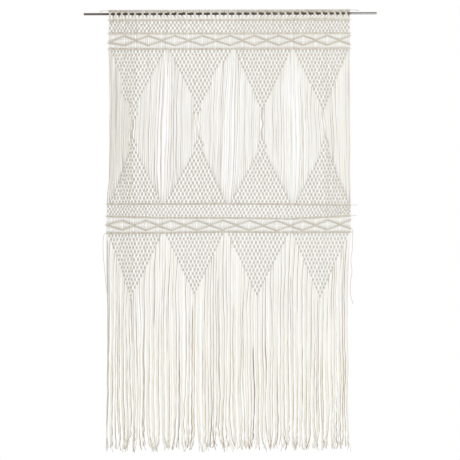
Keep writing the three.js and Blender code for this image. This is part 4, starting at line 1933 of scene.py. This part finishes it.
# ---- the whole ----


@dataclass(frozen=True)
class TriangleRow:
    """Four triangles tied from one ridge. Each tuple runs from the left unit to the right one."""

    name: str
    ridge: int  # counted from 0 at the top
    tied: Way
    radius: float
    necks: tuple[float, ...]
    tips: tuple[float, ...]
    # painted light: how much paler each triangle's cotton is drawn than the curtain's
    pale: tuple[float, ...]
    plans: tuple[RowPlan, ...] = (RowPlan(),) * UNITS

    def triangle(self, unit: int, ridge: Ridge) -> Triangle:
        """Lays out one of the triangles.

        Args:
            unit: The unit that it fills, from 0 at the left.
            ridge: The ridge that it is tied from.

        Returns:
            The triangle.
        """
        return Triangle(
            name=f"{self.name}_{unit + 1}",
            unit=unit,
            ridge=ridge,
            tied=self.tied,
            neck=self.necks[unit],
            tip=self.tips[unit],
            plan=self.plans[unit],
            radius=self.radius,
            pale=self.pale[unit],
        )


SLIM_TIP = ((30, 2), (28, 3), (30, 2), (32, 1))
BLUNT_TIP = ((16, 8), (18, 7), (16, 7), (18, 6), (20, 5), (26, 3), (28, 3), (30, 2), *SLIM_TIP[1:])
ONE_SIDED = RowPlan(15, ((28, 2), (30, 2), (28, 2)), (4, 5, 6, 7, 8))
TRIANGLE_ROWS = (
    TriangleRow(
        name="upper_triangle",
        ridge=2,
        tied=Way.DOWN,
        radius=0.00136,
        necks=(-0.571, -0.528, -0.506, -0.502),
        tips=(-0.588, -0.545, -0.525, -0.523),
        pale=(1.025, 1.01, 1.01, 1.01),
        plans=(RowPlan(9, BLUNT_TIP), ONE_SIDED, RowPlan(), RowPlan()),
    ),
    TriangleRow(
        name="middle_triangle",
        ridge=3,
        tied=Way.UP,
        radius=0.00133,
        necks=(-0.676, -0.680, -0.688, -0.685),
        tips=(-0.659, -0.663, -0.671, -0.668),
        pale=(1.005, 1.01, 1.04, 1.025),
        plans=(RowPlan(14, SLIM_TIP),) * UNITS,
    ),
    TriangleRow(
        name="lower_triangle",
        ridge=5,
        tied=Way.DOWN,
        radius=0.00129,
        necks=(-1.515, -1.499, -1.504, -1.510),
        tips=(-1.556, -1.518, -1.527, -1.538),
        pale=(1.035, 1.055, 1.05, 1.075),
    ),
)

STRING_STREAKS = (
    Streak(2, -0.24, -0.70, 0.80),
    Streak(8, -0.28, -0.62),
    Streak(51, -0.56, -0.72),
    Streak(63, -0.30, -0.92, 0.80),
    Streak(64, -0.30, -0.92, 0.60),
    Streak(74, -0.36, -0.90, 0.66),
    Streak(126, -0.60, -0.95),
    Streak(129, -0.42, -0.64, 0.62),
    Streak(141, -0.24, -0.66),
    Streak(143, -0.38, -0.56, 0.60),
    Streak(143, -0.62, -0.84),
    Streak(185, -0.59, -0.77, 0.60),
    Streak(191, -0.77, -0.90),
    Streak(211, -0.34, -0.92, 0.62),
    Streak(218, -0.40, -0.60, 0.62),
)
FRINGE_STREAKS = (
    Streak(0, -1.20, -2.25, 0.60, 2),
    Streak(14, -1.35, -2.33, 0.62),
    Streak(34, -1.50, -1.80, 0.60),
    Streak(45, -1.68, -2.32, 0.58),
    Streak(53, -1.75, -2.05),
    Streak(58, -1.32, -1.70, 0.55),
    Streak(67, -1.50, -1.75),
    Streak(72, -1.55, -1.85, 0.58),
    Streak(78, -1.26, -1.62),
    Streak(85, -1.86, -2.36, 0.50, 2),
    Streak(98, -1.56, -2.36, 0.54, 2),
    Streak(111, -1.80, -2.05),
    Streak(120, -2.07, -2.36, 0.55, 2),
    Streak(127, -1.42, -2.00, 0.56),
    Streak(143, -1.56, -2.15, 0.62),
    Streak(154, -1.54, -2.10),
    Streak(165, -1.79, -2.33, 0.50, 2),
    Streak(178, -1.75, -2.21, 0.55),
    Streak(204, -1.40, -1.74, 0.56),
    Streak(218, -1.80, -2.20),
    Streak(234, -1.53, -2.20, 0.64),
    Streak(238, -1.83, -2.35, 0.60),
    Streak(257, -2.10, -2.35, 0.58),
    Streak(267, -1.24, -2.00, 0.66),
)

STRING_PARTINGS = tuple(
    Parting(strand, top=-0.23, foot=-1.02, half=half)
    for strand, half in (
        (64.5, 0.005),
        (67.5, 0.008),
        (70.5, 0.005),
        (132.5, 0.005),
        (134.5, 0.007),
        (138.5, 0.006),
        (141.5, 0.005),
        (201.5, 0.005),
        (204.5, 0.007),
        (207.5, 0.005),
    )
)
FRINGE_PARTINGS = (
    Parting(43.5, top=-1.40, foot=-1.82, half=0.007, reach=7),
    Parting(63.5, top=-1.19, foot=-1.75, half=0.004, reach=4),
    Parting(91.5, top=-1.36, foot=-2.10, half=0.008, reach=8),
    Parting(181.5, top=-1.47, foot=-1.90, half=0.006, reach=6),
    Parting(205.5, top=-1.19, foot=-1.60, half=0.003, reach=4),
)

LEFT_TAIL = (
    (-0.6767, 0.0, -1.186),
    (-0.684, -0.001, -1.189),
    (-0.690, -0.004, -1.208),
    (-0.692, -0.007, -1.238),
    (-0.692, -0.009, -1.275),
    (-0.690, -0.010, -1.320),
    (-0.686, -0.010, -1.360),
    (-0.682, -0.010, -1.400),
    (-0.678, -0.011, -1.445),
    (-0.673, -0.012, -1.490),
    (-0.669, -0.012, -1.530),
)
RIGHT_TAIL = (
    (0.6498, -0.0027, -1.166),
    (0.6555, -0.004, -1.169),
    (0.6576, -0.006, -1.181),
    (0.6579, -0.008, -1.204),
    (0.6574, -0.009, -1.240),
    (0.6556, -0.009, -1.278),
    (0.651, -0.009, -1.306),
    (0.6472, -0.009, -1.340),
    (0.653, -0.009, -1.398),
    (0.6455, -0.009, -1.448),
    (0.6435, -0.009, -1.496),
    (0.647, -0.0095, -1.533),
    (0.657, -0.010, -1.571),
)


class Curtain:
    """The whole curtain on its rod."""

    def __init__(self) -> None:
        """Lays the curtain out."""
        self.ridges = [Ridge(line) for line in RIDGE_LINES]
        self.triangles: dict[str, list[Triangle]] = {}
        for row in TRIANGLE_ROWS:
            ridge = self.ridges[row.ridge]
            self.triangles[row.name] = [row.triangle(unit, ridge) for unit in range(UNITS)]

    def free_ends(self, name: str) -> dict[int, np.ndarray]:
        """Gives the point where each strand leaves a row of triangles."""
        row = self.triangles[name]
        return {strand: row[strand // UNIT].free_end(strand) for strand in range(STRANDS)}

    def build(self) -> None:
        """Makes every piece."""
        ridges = self.ridges
        Tail("left_tail", LEFT_TAIL).build()
        Tail("right_tail", RIGHT_TAIL).build()
        BrushedSteel().dress(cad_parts["rod"])
        Heading().build(ridges[0])
        for ridge in ridges:
            ridge.build()
        NetBand("upper_net_band", *ridges[0:2], pale=1.015).build()
        NetBand("lower_net_band", *ridges[3:5], radius=0.00121, pale=1.065, seed=10414).build()
        ZigzagPanel("upper", *ridges[1:3], raised=0.003, dip=0.012).build()
        ZigzagPanel("lower", *ridges[4:6], raised=-0.0015, pale=1.045).build()
        for row in self.triangles.values():
            for triangle in row:
                triangle.build()
        self._strings()
        self._fringe()

    def _strings(self) -> None:
        """Makes the open strings from tip to tip."""
        tops, feet = self.free_ends("upper_triangle"), self.free_ends("middle_triangle")
        sway = Sway(seed=23, clumping=0.25, drift=0.0014, wander=0.0005, edge_shade=0.32)
        for number in range(UNITS + 1):
            start = (2 * number - 1) * UNIT // 2
            strings = OpenStrings(
                sway,
                STRING_PARTINGS,
                STRING_STREAKS,
                held=0.055,
                name=f"strings_{number + 1}",
                first=max(0, start),
                last=min(STRANDS, start + UNIT),
            )
            strings.build(tops, feet)

    def _fringe(self) -> None:
        """Makes the fringe."""
        sway = Sway(
            seed=41,
            clumping=0.48,
            clump_sizes=(2, 3, 3, 4, 5, 5, 6),
            steady=0.75,
            shade=0.08,
            edge_share=0.9,
            edge_shade=0.56,
            ripple=0.0008,
        )
        fringe = Fringe(sway, FRINGE_PARTINGS, FRINGE_STREAKS, held=0.060)
        fringe.build(self.free_ends("lower_triangle"))


def main() -> None:
    """Builds the studio and the curtain."""
    logging.basicConfig(level=logging.INFO, format="%(name)s: %(message)s")
    studio = Studio()
    studio.camera()
    Curtain().build()
    studio.surround()
    studio.floor()
    for lamp in studio.lamps:
        lamp.hang()
    bpy.context.scene.view_settings.view_transform = "Standard"


if __name__ == "__main__":
    main()
